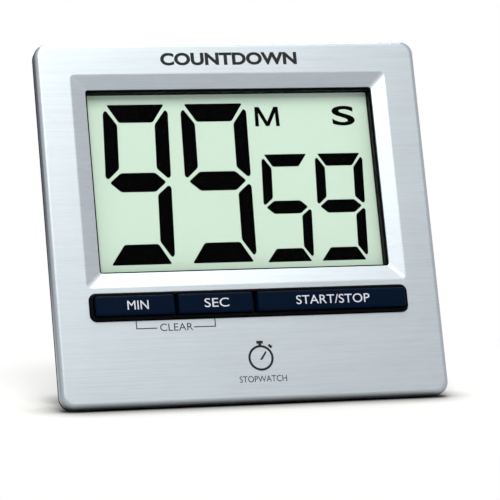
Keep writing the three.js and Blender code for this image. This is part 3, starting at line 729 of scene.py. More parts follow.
@dataclass(frozen=True)
class Moulded(Finish):
    """Moulded plastic or rubber with a fine even texture.

    Args:
        tint: Colour.
        rough: Roughness.
        grain: Waves of the texture per millimetre.
        depth: Depth of the texture in millimetres.
        mottle: Change of brightness over the surface.
        gloss: Specular level.
    """

    tint: Colour = (0.02, 0.02, 0.022)
    rough: float = 0.45
    grain: float = 5.0
    depth: float = 0.02
    mottle: float = 0.12
    gloss: float = 0.5

    def build(self, lean: float) -> bpy.types.Material:
        """Make the material, as Finish.build says."""
        sheet = NodeSheet(self.name, lean)
        leather = sheet.noise((self.grain,) * 3, 3.0, 0.6)
        cloud = sheet.noise((0.09,) * 3, 3.0)
        light, dark = shaded(self.tint, 1 + self.mottle), shaded(self.tint, 1 - self.mottle)
        amount = sheet.work_out("ADD", sheet.ramp(leather, 0.0, 0.5), sheet.ramp(cloud, 0.0, 0.5))
        normal = sheet.bump(leather, self.depth, 0.6)
        return sheet.principled({"Base Color": sheet.blend(amount, dark, light), "Normal": normal,
                                 "Specular IOR Level": self.gloss,
                                 "Roughness": sheet.ramp(cloud, self.rough - 0.04, self.rough + 0.04)})


@dataclass(frozen=True)
class Plated(Finish):
    """Plain or plated metal with fine scratches.

    Args:
        tint: Colour of the metal.
        rough: Roughness.
        scratch: Waves of the scratches per millimetre.
        tarnish: How far patches darken.
    """

    tint: Colour = (0.62, 0.63, 0.64)
    rough: float = 0.28
    scratch: float = 6.0
    tarnish: float = 0.12

    def build(self, lean: float) -> bpy.types.Material:
        """Make the material, as Finish.build says."""
        sheet = NodeSheet(self.name, lean)
        scratches = sheet.noise((self.scratch, self.scratch / 6, self.scratch * 2), 4.0, 0.7)
        patches = sheet.noise((0.3, 0.3, 0.3), 3.0)
        colour = sheet.blend(sheet.ramp(patches, 0.0, 1.0), self.tint, shaded(self.tint, 1 - self.tarnish))
        return sheet.principled({"Base Color": colour, "Metallic": 1.0,
                                 "Normal": sheet.bump(scratches, 0.004, 0.5),
                                 "Roughness": sheet.ramp(scratches, self.rough - 0.06, self.rough + 0.08)})


@dataclass(frozen=True)
class Pane(Finish):
    """Clear sheet that shows what lies behind it.

    Args:
        tint: What it lets through.
        index: Strength of its reflection, as a refractive index.
    """

    tint: Colour = (0.985, 0.99, 0.985)
    index: float = 1.04

    def build(self, lean: float) -> bpy.types.Material:
        """Make the material, as Finish.build says."""
        sheet = NodeSheet(self.name, lean)
        smears = sheet.noise((0.12, 0.12, 0.12), 3.0)
        fresnel = sheet.node("ShaderNodeFresnel", {"IOR": self.index}).outputs["Fac"]
        clear = sheet.node("ShaderNodeBsdfTransparent", {"Color": (*self.tint, 1.0)})
        gloss = sheet.node("ShaderNodeBsdfGlossy", {"Color": (1, 1, 1, 1),
                                                    "Roughness": sheet.ramp(smears, 0.05, 0.09)})
        return sheet.ended(sheet.node("ShaderNodeMixShader", {0: fresnel, 1: clear.outputs[0],
                                                              2: gloss.outputs[0]}))


@dataclass(frozen=True)
class Striped(Finish):
    """Surface with regular bands, such as a contact strip, a cell's wrap or a board's tracks.

    Args:
        tint: Ground colour.
        band: Colour of the bands.
        stretch: Waves per millimetre to the right, back and up.
        width: Share of each wave that the band takes.
        rough: Roughness.
        wander: How far the bands wander.
    """

    tint: Colour = (0.1, 0.3, 0.15)
    band: Colour = (0.16, 0.42, 0.2)
    stretch: tuple[float, float, float] = (1.0, 0.0, 0.0)
    width: float = 0.5
    rough: float = 0.5
    wander: float = 0.0

    def build(self, lean: float) -> bpy.types.Material:
        """Make the material, as Finish.build says."""
        sheet = NodeSheet(self.name, lean)
        waves = sheet.node("ShaderNodeTexWave", {"Vector": sheet.place(self.stretch), "Scale": 1.0,
                                                 "Distortion": self.wander, "Detail": 2.0},
                           wave_type="BANDS", bands_direction="DIAGONAL").outputs["Fac"]
        edge = 1 - self.width
        step = sheet.node("ShaderNodeMapRange", {"Value": waves, "From Min": edge - 0.04,
                                                 "From Max": edge + 0.04, "To Min": 0.0,
                                                 "To Max": 1.0}).outputs["Result"]
        speckle = sheet.noise((4.0, 4.0, 4.0), 2.0)
        bands = sheet.blend(step, self.tint, self.band)
        colour = sheet.blend(sheet.ramp(speckle, 0.0, 0.12), bands, (0, 0, 0))
        return sheet.principled({"Base Color": colour, "Normal": sheet.bump(step, 0.02, 0.4),
                                 "Roughness": sheet.ramp(speckle, self.rough - 0.05, self.rough + 0.05)})


class Finishes(Enum):
    """Every finish on the timer."""

    FACE = Brushed("brushed_face_steel", "face_metal")
    FRONT = Moulded("black_front_moulding", "case_black", (0.001, 0.001, 0.0017), 0.4, 4.0, 0.01, 0.15, 0.03)
    CASE = Moulded("charcoal_case", "case_charcoal", (0.021, 0.023, 0.027), 0.6, 2.6, 0.05, 0.15)
    DOOR = Moulded("charcoal_door", "case_charcoal", (0.023, 0.025, 0.029), 0.52, 3.2, 0.04, 0.12)
    LEG = Moulded("charcoal_leg", "case_charcoal", (0.019, 0.021, 0.025), 0.5, 3.0, 0.04, 0.12)
    KEY = Moulded("navy_key", "key_navy", (0.0004, 0.0048, 0.016), 0.3, 6.0, 0.003, 0.1, 0.03)
    LEGEND = Moulded("key_legend_ink", "key_navy", (0.56, 0.57, 0.66), 0.55, 9.0, 0.004, 0.06, 0.3)
    INK = Moulded("black_print", "case_black", (0.006, 0.006, 0.007), 0.6, 9.0, 0.004, 0.2, 0.2)
    SOFT_INK = Moulded("grey_print", "case_black", (0.02, 0.025, 0.032), 0.6, 9.0, 0.004, 0.2, 0.2)
    SEGMENT = Moulded("lit_segment", "lcd_glass", (0.0004, 0.0004, 0.0006), 0.7, 3.0, 0.001, 0.3, 0.01)
    DISPLAY = Moulded("display_field", "lcd_glass", (0.572, 0.711, 0.617), 0.6, 1.2, 0.001, 0.012, 0.08)
    REFLECTOR = Moulded("display_reflector", "lcd_reflector", (0.6, 0.8, 0.62), 0.5, 8.0, 0.004, 0.03)
    LENS = Pane("window_lens", "clear_lens")
    GLASS = Pane("display_glass", "lcd_glass", (0.99, 0.995, 0.99), 1.03)
    RETAINER = Moulded("white_retainer", "white_plastic", (0.72, 0.72, 0.69), 0.5, 4.0, 0.02, 0.05)
    SILICONE = Moulded("keypad_silicone", "silicone", (0.26, 0.27, 0.29), 0.8, 7.0, 0.01, 0.08, 0.3)
    EPOXY = Moulded("chip_epoxy", "epoxy", (0.004, 0.004, 0.004), 0.35, 3.0, 0.01, 0.2)
    SLEEVE = Moulded("capacitor_sleeve", "case_charcoal", (0.02, 0.022, 0.03), 0.35, 3.0, 0.004, 0.1)
    CERAMIC = Moulded("buzzer_ceramic", "ceramic", (0.78, 0.74, 0.66), 0.6, 9.0, 0.008, 0.05)
    RED = Moulded("red_insulation", "wire_red", (0.36, 0.012, 0.012), 0.45, 3.0, 0.006, 0.08)
    BLACK = Moulded("black_insulation", "wire_black", (0.008, 0.008, 0.008), 0.45, 3.0, 0.006, 0.15)
    STRIP = Striped("contact_strip", "elastomer", (0.48, 0.19, 0.14), (0.03, 0.03, 0.03),
                    (2.0, 0, 0), 0.4, 0.8)
    BOARD = Striped("solder_mask", "board", (0.012, 0.10, 0.035), (0.03, 0.19, 0.07),
                    (0.12, 0, 0.35), 0.3, 0.4, 2.5)
    WRAP = Striped("cell_wrap", "cell", (0.03, 0.06, 0.12), (0.42, 0.44, 0.47), (0.022, 0, 0), 0.3, 0.3)
    STEEL = Plated("zinc_steel", "steel")
    NICKEL = Plated("nickel_contact", "nickel", (0.66, 0.65, 0.62), 0.2, 4.0, 0.08)
    BRASS = Plated("buzzer_brass", "brass", (0.72, 0.50, 0.20), 0.25, 5.0, 0.2)
    MAGNET = Plated("magnet_plating", "magnet", (0.55, 0.56, 0.57), 0.22, 2.0, 0.1)


# ---------------------------------------------------------------- the workshop


class Workshop:
    """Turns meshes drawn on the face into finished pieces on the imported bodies."""

    def __init__(self, face: FaceFrame) -> None:
        """Open the workshop.

        Args:
            face: Axes of the face.
        """
        self.face = face
        self.materials: dict[Finishes, bpy.types.Material] = {}

    def material(self, finish: Finishes) -> bpy.types.Material:
        """Material of a finish, made once."""
        if finish not in self.materials:
            self.materials[finish] = finish.value.build(self.face.lean)
        return self.materials[finish]

    def piece(self, name: str, shape: Mesh, finish: Finishes, body: str, stands_for: Sequence[str] = (),
              crease: float = 32.0, ease: float = 0.0, wall: float = 0.0) -> Piece:
        """Finish a mesh as a piece that rides on a body.

        Args:
            name: Name of the piece.
            shape: Mesh in face millimetres, which is used up.
            finish: Its finish.
            body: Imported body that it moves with.
            stands_for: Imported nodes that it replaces.
            crease: Degrees past which an edge stays sharp.
            ease: Width in millimetres by which sharp edges are rounded.
            wall: Thickness in millimetres given to an open skin, inwards.

        Returns:
            The piece.
        """
        bmesh.ops.transform(shape, matrix=self.face.to_row, verts=shape.verts)
        for facet in shape.faces:
            facet.smooth = True
        for edge in shape.edges:
            edge.smooth = edge.is_manifold and edge.calc_face_angle(0.0) < math.radians(crease)
        mesh = plain_mesh(name, shape)
        made = in_scene(name, mesh)
        mesh.materials.append(self.material(finish))
        if wall:
            shell = made.modifiers.new("wall", "SOLIDIFY")
            shell.thickness = wall * MM
            shell.offset = -1.0
            shell.use_even_offset = True
        if ease:
            easing = made.modifiers.new("ease", "BEVEL")
            easing.width = ease * MM
            easing.segments = 2
            easing.limit_method = "ANGLE"
            easing.angle_limit = math.radians(crease)
        shading = made.modifiers.new("shading", "WEIGHTED_NORMAL")
        shading.keep_sharp = True
        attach(made, body)
        if stands_for:
            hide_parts(*stands_for)
        log.info("%s: %d faces, on %s", name, len(mesh.polygons), body)
        return made

    def dress(self, node: str, finish: Finishes) -> None:
        """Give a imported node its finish.

        Args:
            node: Name of the node.
            finish: The finish.
        """
        packed = self.face.nodes[node]
        if not packed.material_slots:
            packed.data.materials.append(None)
        for slot in packed.material_slots:
            slot.material = self.material(finish)
        log.info("%s: packed solid, %s", node, finish.value.name)


# ---------------------------------------------------------------- the front


@dataclass
class FaceSheet:
    """Folded steel face with its bevelled window and the slot for the keys.

    Args:
        shop: The workshop.
        thickness: Thickness of the sheet.
        corner: Radius of the corners seen from the front.
        fold: Outside radius of the fold.
        lens_cover: How far the lens reaches behind the window's edge.
        bevel: Width of the sloping bevel.
        bevel_drop: How far the bevel slopes back.
        bevel_corner: Corner radius of the bevel's outer edge.
        window_corner: Corner radius of the window.
        crease: Radius of the bend along the bevel's outer edge.
        slot_fit: Room between the slot and the key frame.
    """

    shop: Workshop
    thickness: float = 0.5
    corner: float = 3.2
    fold: float = 1.2
    lens_cover: float = 1.6
    bevel: float = 3.6
    bevel_drop: float = 0.8
    bevel_corner: float = 1.1
    window_corner: float = 0.7
    crease: float = 0.45
    slot_fit: float = 0.15

    def __post_init__(self) -> None:
        """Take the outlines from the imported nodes."""
        self.plate = self.shop.face.extent("face_plate")
        self.window = self.shop.face.extent("display_lens").grown(-self.lens_cover)
        self.frame = self.shop.face.extent("front_housing", back=-0.5)

    def build(self) -> Piece:
        """Make the sheet and its fold, bevel and slot."""
        shape = bmesh.new()
        levels = rounded_levels(self.plate, self.corner, self.fold, 0.0, 1, 8)[::-1]
        levels.insert(0, (self.plate, self.plate.y1, self.corner))
        outer = [outline(shape, *level) for level in levels]
        skin(shape, outer)

        slope = self.bevel_drop / self.bevel
        bend = []
        for step in range(5):
            along = self.crease * (0.5 - step / 4)
            sag = slope * self.crease * (step / 4) ** 2 / 2
            bend.append(outline(shape, self.window.grown(self.bevel + along), sag, self.bevel_corner + along))
        lip = outline(shape, self.window.grown(0.1), self.bevel_drop - 0.1 * slope, self.window_corner + 0.1)
        rim = outline(shape, self.window, self.bevel_drop + 0.05, self.window_corner)
        back = outline(shape, self.window, self.bevel_drop + self.thickness, self.window_corner)
        skin(shape, [*bend, lip, rim, back])

        slot = self.frame.grown(self.slot_fit)
        brim = outline(shape, slot.grown(0.12), 0.0, self.slot_corner + 0.12)
        edge = outline(shape, slot, 0.12, self.slot_corner)
        inside = outline(shape, slot, self.thickness, self.slot_corner)
        skin(shape, [brim, edge, inside])

        bmesh.ops.triangle_fill(shape, use_beauty=True, use_dissolve=False,
                                edges=outer[-1] + bend[0] + brim, normal=(0, -1, 0))
        face_out(shape)
        if sum(facet.normal.y * facet.calc_area() for facet in shape.faces) > 0:
            bmesh.ops.reverse_faces(shape, faces=shape.faces[:])
        return self.shop.piece("face_sheet", shape, Finishes.FACE, "case", ["face_plate"], wall=self.wall)

    @property
    def slot_corner(self) -> float:
        """Corner radius of the slot."""
        return 1.5 + self.slot_fit

    @property
    def wall(self) -> float:
        """Thickness that the skin is given, a little under the sheet's own."""
        return self.thickness - 0.04


@dataclass
class FrontMoulding:
    """Black moulding behind the sheet: its edge band, window surround, key frame and glass pocket.

    Args:
        sheet: The face sheet that it fills.
        seat: Gap between faces that sit on each other.
        drop: Room round what drops in.
        wall: Thickness of the panel behind the sheet.
        band_round: Radius of the edge band's back edge.
        lip_inset: How far inside the case's outline the lip stands.
        lip_wall: Thickness of the lip.
        lip_reach: How far the lip reaches into the case.
        surround: How far the surround shows inside the window.
        surround_step: How far the surround is stepped back at its front.
        frame_corner: Corner radius of the key frame.
        frame_wall: Wall of the key frame.
        frame_round: Radius of the key frame's front edge.
        frame_ease: Eased inner edge of the key frame.
        pocket_wall: Wall round the glass.
        post: Radius of a board screw's post.
        boss: Radius of a case screw's boss.
        boss_reach: How far a boss reaches into the case.
        pilot: Radius of a screw's hole.
        key_room: Room round each key.
    """

    sheet: FaceSheet
    seat: float = 0.05
    drop: float = 0.15
    wall: float = 1.6
    band_round: float = 0.45
    lip_inset: float = 1.75
    lip_wall: float = 1.2
    lip_reach: float = 1.6
    surround: float = 0.45
    surround_step: float = 0.18
    frame_corner: float = 1.5
    frame_wall: float = 0.7
    frame_round: float = 0.28
    frame_ease: float = 0.12
    pocket_wall: float = 1.2
    post: float = 2.6
    boss: float = 3.0
    boss_reach: float = 3.2
    pilot: float = 1.05
    key_room: float = 0.2

    def __post_init__(self) -> None:
        """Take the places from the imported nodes."""
        face = self.sheet.shop.face
        self.body = face.extent("front_housing")
        self.lens = face.extent("display_lens")
        self.glass = face.extent("lcd_front_glass")
        self.retainer = face.extent("lcd_retainer")
        self.case = face.extent("rear_housing")
        self.front = self.sheet.thickness + 2 * self.seat
        self.panel_back = self.front + self.wall
        self.band_front = self.sheet.plate.y1 + self.seat
        self.band_back = self.case.y0 - self.seat

    def build(self) -> Piece:
        """Make the moulding as one solid."""
        sheet, lens, glass = self.sheet, self.lens, self.glass
        inner = sheet.plate.grown(-self.front).deep(self.front, self.band_back)
        core = panel(inner, sheet.corner - self.front, sheet.fold - self.front + 0.1)
        band = panel(sheet.plate.grown(-self.seat).deep(self.band_front, self.band_back), sheet.corner,
                     0.0, self.band_round)
        lip = panel(self.case.grown(-self.lip_inset).deep(self.band_front, self.band_back + self.lip_reach),
                    CASE_CORNER - self.lip_inset)
        hollow_inset = self.lip_inset + self.lip_wall
        hollow = panel(self.case.grown(-hollow_inset).deep(self.panel_back, self.body.y1 + 3 * CLEAR),
                       CASE_CORNER - hollow_inset)
        pocket = glass.grown(self.drop)
        pocket_block = panel(pocket.grown(self.pocket_wall).deep(self.panel_back - self.seat,
                                                                 self.retainer.y1 - self.drop), 1.9)
        pocket_room = panel(pocket.deep(glass.y0 - self.seat, self.retainer.y1 + 2 * CLEAR), 0.7)
        recess = panel(lens.grown(self.drop).deep(lens.y0 - self.seat, glass.y0), 2.3)
        frame = panel(sheet.frame.deep(self.body.y0, self.panel_back), self.frame_corner, self.frame_round)
        shape = carve(core, (Cut.JOIN, [band, lip]), (Cut.REMOVE, [hollow]),
                      (Cut.JOIN, [pocket_block, *self.stands()]),
                      (Cut.REMOVE, [self.bevel_room(), self.opening(), recess, pocket_room]),
                      (Cut.JOIN, [frame]),
                      (Cut.REMOVE, [self.key_floor(), *self.key_wells(), *self.pilots(),
                                    bench_block(sheet.shop.face)]))
        return sheet.shop.piece("front_moulding", shape, Finishes.FRONT, "case", ["front_housing"])

    def bevel_room(self) -> Mesh:
        """Room for the back of the sheet's bevel."""
        sheet = self.sheet
        wide = sheet.window.grown(sheet.bevel + 0.2)
        return lofted([(wide, -CLEAR, sheet.bevel_corner), (wide, self.front, sheet.bevel_corner),
                       (sheet.window.grown(0.45), sheet.bevel_drop + sheet.thickness + 0.1, 0.7)])

    def opening(self) -> Mesh:
        """Opening of the window, whose edge is stepped back at the front."""
        lands = self.sheet.window.grown(-self.surround)
        stepped = lands.grown(self.surround_step)
        return lofted([(stepped, 0.5, 0.5), (stepped, 1.38, 0.5), (lands, 1.62, 0.4),
                       (lands, self.lens.y0 + CLEAR, 0.4)])

    def key_floor(self) -> Mesh:
        """Sunk floor inside the key frame."""
        rim, corner = self.sheet.frame.grown(-self.frame_wall), 0.85
        wide, wide_corner = rim.grown(self.frame_ease), corner + 0.1
        return lofted([(wide, self.body.y0 - CLEAR, wide_corner), (wide, self.body.y0, wide_corner),
                       (rim, self.body.y0 + 0.15, corner), (rim, self.front, corner)])

    def key_wells(self) -> list[Mesh]:
        """Well of each key."""
        caps = [self.sheet.shop.face.extent(node, back=0.0) for node, *_ in KEYS]
        return [panel(cap.grown(self.key_room).deep(-2 * CLEAR, self.panel_back + CLEAR), 0.5)
                for cap in caps]

    def round_bars(self, nodes: Sequence[str], radius: float, front: float, back: Optional[float] = None,
                   sides: int = 32) -> list[Mesh]:
        """Round bars on the axes of screws."""
        screws = [self.sheet.shop.face.extent(node) for node in nodes]
        return [rod(screw.centre.x, screw.centre.z, radius, front, screw.y1 if back is None else back, sides)
                for screw in screws]

    def stands(self) -> list[Mesh]:
        """Posts of the board's screws and bosses of the case's screws."""
        front, board = self.panel_back - self.seat, self.sheet.shop.face.extent("circuit_board")
        return (self.round_bars(BOARD_SCREWS, self.post, front, board.y0 - self.seat)
                + self.round_bars(CASE_SCREWS, self.boss, front, self.band_back + self.boss_reach))

    def pilots(self) -> list[Mesh]:
        """Holes that the screws bite into."""
        return self.round_bars(BOARD_SCREWS + CASE_SCREWS, self.pilot, self.panel_back + CLEAR, sides=20)


def bench_block(face: FaceFrame) -> Mesh:
    """Everything below the surface that the timer stands on.

    Args:
        face: Axes of the face.

    Returns:
        A block whose top is the surface, in face millimetres.
    """
    reach = 0.2 / MM
    shape = block(Slab(-reach, reach, -reach, reach, -reach / 2, 0.0))
    bmesh.ops.scale(shape, vec=(MM, MM, MM), verts=shape.verts)
    bmesh.ops.transform(shape, matrix=face.to_face, verts=shape.verts)
    return shape


@dataclass
class Key:
    """One key cap with its legend.

    Args:
        shop: The workshop.
        node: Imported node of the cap.
        body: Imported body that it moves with.
        words: Legend.
        left: Left end of the legend, from the middle of the face.
        right: Right end of the legend.
        base: Foot of the legend's letters above the key's lower edge.
        tall: Height of the letters.
        corner: Radius of the cap's corners seen from the front.
        round_edge: Radius of the cap's front edges.
        ink: Thickness of the printed legend.
    """

    shop: Workshop
    node: str
    body: str
    words: str
    left: float
    right: float
    base: float = 1.15
    tall: float = 2.15
    corner: float = 0.55
    round_edge: float = 0.5
    ink: float = 0.02

    def build(self) -> list[Piece]:
        """Make the cap and its legend."""
        face = self.shop.face
        cap = face.extent(self.node, back=0.0)
        whole = face.extent(self.node)
        flange = face.extent(self.node, front=1.0)
        top = panel(cap.deep(whole.y0, whole.y1), self.corner, self.round_edge, edge_steps=5)
        shape = carve(top, (Cut.JOIN, [panel(flange, self.corner - 0.05)]))
        made = self.shop.piece(f"{self.node}_cap", shape, Finishes.KEY, self.body, [self.node])
        place = Slab(self.left, self.right, whole.y0 - self.ink, whole.y0 + self.ink / 2,
                     cap.z0 + self.base, cap.z0 + self.base + self.tall)
        legend = self.shop.piece(f"{self.node}_legend", lettering(self.words, place), Finishes.LEGEND,
                                 self.body)
        return [made, legend]


@dataclass
class Digit:
    """One seven-segment figure of the display, in places from the middle of the face.

    Args:
        name: Name of the piece.
        left: Left side at half height.
        right: Right side at half height.
        base: Foot.
        top: Head.
        middle: Height of the middle stroke.
        stem: Width of the upright strokes.
        head: Height of the top stroke.
        waist: Height of the middle stroke's band.
        foot: Height of the bottom stroke.
        slope: Lean to the right for each millimetre up.
        lit: Letters of the segments that are on.
    """

    name: str
    left: float
    right: float
    base: float
    top: float
    middle: float
    stem: float
    head: float
    waist: float
    foot: float
    slope: float
    lit: str

    @property
    def size(self) -> float:
        """Size of the segments' cuts, 1 for the stem that they were drawn for."""
        return self.stem / DRAWN_STEM

    def segments(self) -> dict[str, list[Point]]:
        """Corners of every segment, upright, before the figure is slanted."""
        size = self.size
        half = self.waist / 2
        far, near, tip = 0.88 * size, self.stem + 0.42 * size, 0.65 * size
        left, right, top, base, mid = self.left, self.right, self.top, self.base, self.middle
        upper = [(0.0, top - 1.95 * size), (tip, top - 1.25 * size),
                 (self.stem, top - self.head - 0.55 * size), (self.stem, mid + half + size),
                 (tip, mid + 0.8 * size), (0.0, mid + 1.3 * size)]
        lower = [(0.0, mid - 1.35 * size), (tip, mid - 0.75 * size),
                 (self.stem, mid - half - 0.75 * size), (self.stem, base + self.foot + 0.55 * size),
                 (tip, base + 1.5 * size), (0.0, base + 2.1 * size)]
        return {
            "A": [(left + far, top), (right - far, top), (right - near, top - self.head),
                  (left + near, top - self.head)],
            "B": [(right - x, z) for x, z in upper],
            "C": [(right - x, z) for x, z in lower],
            "D": [(left + near, base + self.foot), (right - near, base + self.foot),
                  (right - 0.8 * far, base), (left + 0.6 * far, base)],
            "E": [(left + x, z) for x, z in lower],
            "F": [(left + x, z) for x, z in upper],
            "G": [(left + 0.95 * size, mid), (left + near - 0.1, mid + half), (right - near, mid + half),
                  (right - 1.15 * size, mid), (right - near, mid - half), (left + near - 0.1, mid - half)],
        }

    def build(self, shop: Workshop, front: float, back: float) -> Piece:
        """Make the lit segments between two depths.

        Args:
            shop: The workshop.
            front: Front of the segments.
            back: Back of the segments.

        Returns:
            The piece.
        """
        parts = []
        for letter, corners in self.segments().items():
            if letter in self.lit:
                slanted = [(x + self.slope * (z - self.middle), z) for x, z in corners]
                parts.append(cut_out(slanted, front, back, 0.45 * self.size))
        return shop.piece(self.name, gather(parts), Finishes.SEGMENT, "case")


def letter_m(box: Slab, stroke: float) -> list[Point]:
    """Outline of a wide M with an even stroke.

    Args:
        box: Box that it fills.
        stroke: Width of its strokes.

    Returns:
        Its corners.
    """
    mid = box.centre.x
    left = [(box.x0, box.z0), (box.x0 + 0.15 * stroke, box.z1), (box.x0 + 1.35 * stroke, box.z1),
            (mid, box.z0 + 1.3 * stroke)]
    inner = [(mid + 0.45 * stroke, box.z0 + 0.02), (mid - 0.45 * stroke, box.z0 + 0.02),
             (box.x0 + 1.05 * stroke, box.z1 - 1.6 * stroke), (box.x0 + stroke, box.z0)]
    right = [(2 * mid - x, z) for x, z in reversed(left[:-1])]
    foot = [(2 * mid - x, z) for x, z in reversed(inner[2:])]
    return left + right + foot + inner


GLASS_NODES = {
    "lcd_front_glass": Finishes.GLASS,
    "lcd_back_glass": Finishes.DISPLAY,
    "lcd_reflector": Finishes.REFLECTOR,
    "lcd_retainer": Finishes.RETAINER,
    "zebra_strip": Finishes.STRIP,
}


@dataclass
class Display:
    """Lens, glass and the figures between the two glass sheets.

    Args:
        shop: The workshop.
        behind: Gap between the lens and the segments.
        film: Thickness of the segments.
        polariser: Thickness of the film behind the segments.
        mark_stroke: Width of the strokes of the minutes mark.
        lens_corner: Radius of the lens's corners.
        lens_ease: Radius of the lens's edges.
        border: How far the printed border reaches in from the lens's edge.
    """

    shop: Workshop
    behind: float = 0.08
    film: float = 0.02
    polariser: float = 0.04
    mark_stroke: float = 0.92
    lens_corner: float = 2.3
    lens_ease: float = 0.15
    border: float = 2.05

    def build(self) -> list[Piece]:
        """Make the figures, the marks, the films and the lens, and dress the glass."""
        face = self.shop.face
        glass = face.extent("lcd_front_glass")
        lens = face.extent("display_lens")
        front = lens.y1 + self.behind
        back = front + self.film
        big = dict(base=34.88, top=74.6, middle=55.18, stem=3.42, head=4.5, waist=4.75, foot=5.0)
        small = dict(base=34.63, top=61.55, middle=48.23, stem=2.44, head=3.12, waist=3.25, foot=3.3)
        figures = [
            Digit("minutes_tens", -31.85, -15.75, slope=0.036, lit="ABCDFG", **big),
            Digit("minutes_units", -12.3, 4.2, slope=0.02, lit="ABCDFG", **big),
            Digit("seconds_tens", 6.7, 18.75, slope=0.045, lit="ACDFG", **small),
            Digit("seconds_units", 20.3, 32.45, slope=0.04, lit="ABCDFG", **small),
        ]
        made = [figure.build(self.shop, front, back) for figure in figures]
        minutes_box = Slab(6.55, 12.75, front, back, 68.7, 73.6)
        seconds_box = Slab(26.25, 32.05, front, back, 68.6, 73.6)
        film_back = back + self.film + self.polariser
        print_front = lens.y1 + self.film
        inside = panel(lens.grown(-self.border).deep(lens.y1 - CLEAR, lens.y1 + CLEAR), 0.4)
        rest = [
            ("minutes_mark", cut_out(letter_m(minutes_box, self.mark_stroke), front, back), Finishes.SEGMENT),
            ("seconds_mark", lettering("S", seconds_box, 0.02), Finishes.SEGMENT),
            ("front_polariser", panel(glass.deep(back + self.film, film_back), 0.3, steps=2),
             Finishes.DISPLAY),
            ("window_pane", panel(lens, self.lens_corner, self.lens_ease, self.lens_ease, edge_steps=2),
             Finishes.LENS),
            ("window_border", carve(panel(lens.grown(-0.1).deep(print_front, print_front + self.film),
                                          self.lens_corner - 0.1), (Cut.REMOVE, [inside])), Finishes.INK),
        ]
        stands_for = {"window_pane": ["display_lens"]}
        made += [self.shop.piece(name, shape, finish, "case", stands_for.get(name, ()))
                 for name, shape, finish in rest]
        for node, finish in GLASS_NODES.items():
            self.shop.dress(node, finish)
        return made


@dataclass
class FacePrints:
    """Words and lines printed on the steel.

    Args:
        sheet: The face sheet.
        ink: Thickness of the ink.
        line: Width of a printed line.
        level: Height of the key bracket's lower line.
    """

    sheet: FaceSheet
    ink: float = 0.02
    line: float = 0.25
    level: float = 18.35

    def slab(self, x0: float, x1: float, z0: float, z1: float) -> Slab:
        """Box of ink on the face."""
        return Slab(x0, x1, -self.ink, self.ink / 2, z0, z1)

    def flat(self, points: Sequence[Point]) -> Mesh:
        """Flat shape of ink on the face."""
        return cut_out(points, -self.ink, self.ink / 2)

    def build(self) -> list[Piece]:
        """Print the heading, the key bracket and the stopwatch mark."""
        left = self.sheet.plate.x0
        heading = lettering("COUNTDOWN", self.slab(left + 30.7, left + 65.0, 83.1, 86.3), 0.04)
        clear = lettering("CLEAR", self.slab(left + 25.0, left + 33.0, 17.7, 19.5))
        note = lettering("STOPWATCH", self.slab(left + 43.2, left + 54.8, 4.6, 6.1))
        arms = [self.bracket_arm(left + 19.2, left + 24.3), self.bracket_arm(left + 38.6, left + 33.2)]
        rows = [("heading_print", heading, Finishes.INK),
                ("clear_print", gather([clear, *arms]), Finishes.SOFT_INK),
                ("stopwatch_print", gather(self.stopwatch(left + 48.9, 10.4)), Finishes.INK),
                ("note_print", note, Finishes.INK)]
        return [self.sheet.shop.piece(name, shape, finish, "case") for name, shape, finish in rows]

    def bracket_arm(self, stand: float, end: float) -> Mesh:
        """Line that hangs from the key frame and turns towards the word.

        Args:
            stand: Outer side of its upright line.
            end: End next to the word.

        Returns:
            The closed mesh.
        """
        top, upper = self.sheet.frame.z0, self.level + self.line
        inner = stand + math.copysign(self.line, end - stand)
        return self.flat([(stand, top), (inner, top), (inner, upper), (end, upper), (end, self.level),
                          (stand, self.level)])

    def stopwatch(self, x: float, z: float, radius: float = 3.1, wall: float = 0.55) -> list[Mesh]:
        """Plain mark of a stopwatch.

        Args:
            x: Middle of its dial.
            z: Height of its dial.
            radius: Radius of the dial.
            wall: Width of its ring.

        Returns:
            Ring, crown, stalk, hand and push.
        """
        hole, thick = radius - wall, 1.5 * self.ink
        ring = turned([(hole, 0), (radius, 0), (radius, thick), (hole, thick), (hole, 0)],
                      x, -self.ink, z, 64)
        crown = block(self.slab(x - 0.8, x + 0.8, z + radius + 0.35, z + radius + 1.05))
        stalk = block(self.slab(x - 0.35, x + 0.35, z + radius - 0.05, z + radius + 0.45))
        hand = self.flat([(x - 0.28, z - 0.45), (x + 0.28, z - 0.45), (x + 1.55, z + 1.4),
                          (x + 1.2, z + 1.6)])
        push = block(self.slab(-0.5, 0.5, radius + 0.3, radius + 0.95))
        swing(push, math.radians(42), "Y")
        bmesh.ops.translate(push, vec=(x, 0, z), verts=push.verts)
        return [ring, crown, stalk, hand, push]


# ---------------------------------------------------------------- the back


def eased_end(radius: float, deep: float, ease: float) -> list[Point]:
    """End of a cutter's profile, from its side past the surface, with the rim that it eases."""
    return [(radius, deep - ease), (radius + 0.3 * ease, deep - 0.3 * ease), (radius + ease, deep),
            (radius + ease, deep + 2 * CLEAR), (0, deep + 2 * CLEAR)]


def flared(slab: Slab, corner: float, back: float, flare: float) -> Mesh:
    """Cutter for an opening of that box and corner in the back surface, whose rim it eases."""
    levels = [(0.0, slab.y0), (0.0, back - flare), (0.3 * flare, back - 0.3 * flare), (flare, back),
              (flare, back + 2 * CLEAR)]
    return lofted([(slab.grown(margin), depth, corner + margin) for margin, depth in levels])


def flared_hole(x: float, z: float, radius: float, front: float, back: float, flare: float,
                sides: int = 48) -> Mesh:
    """Round cutter from a hole's bottom out through the back surface, whose rim it eases."""
    return turned([(0, 0), (radius, 0), *eased_end(radius, back - front, flare)], x, front, z, sides)


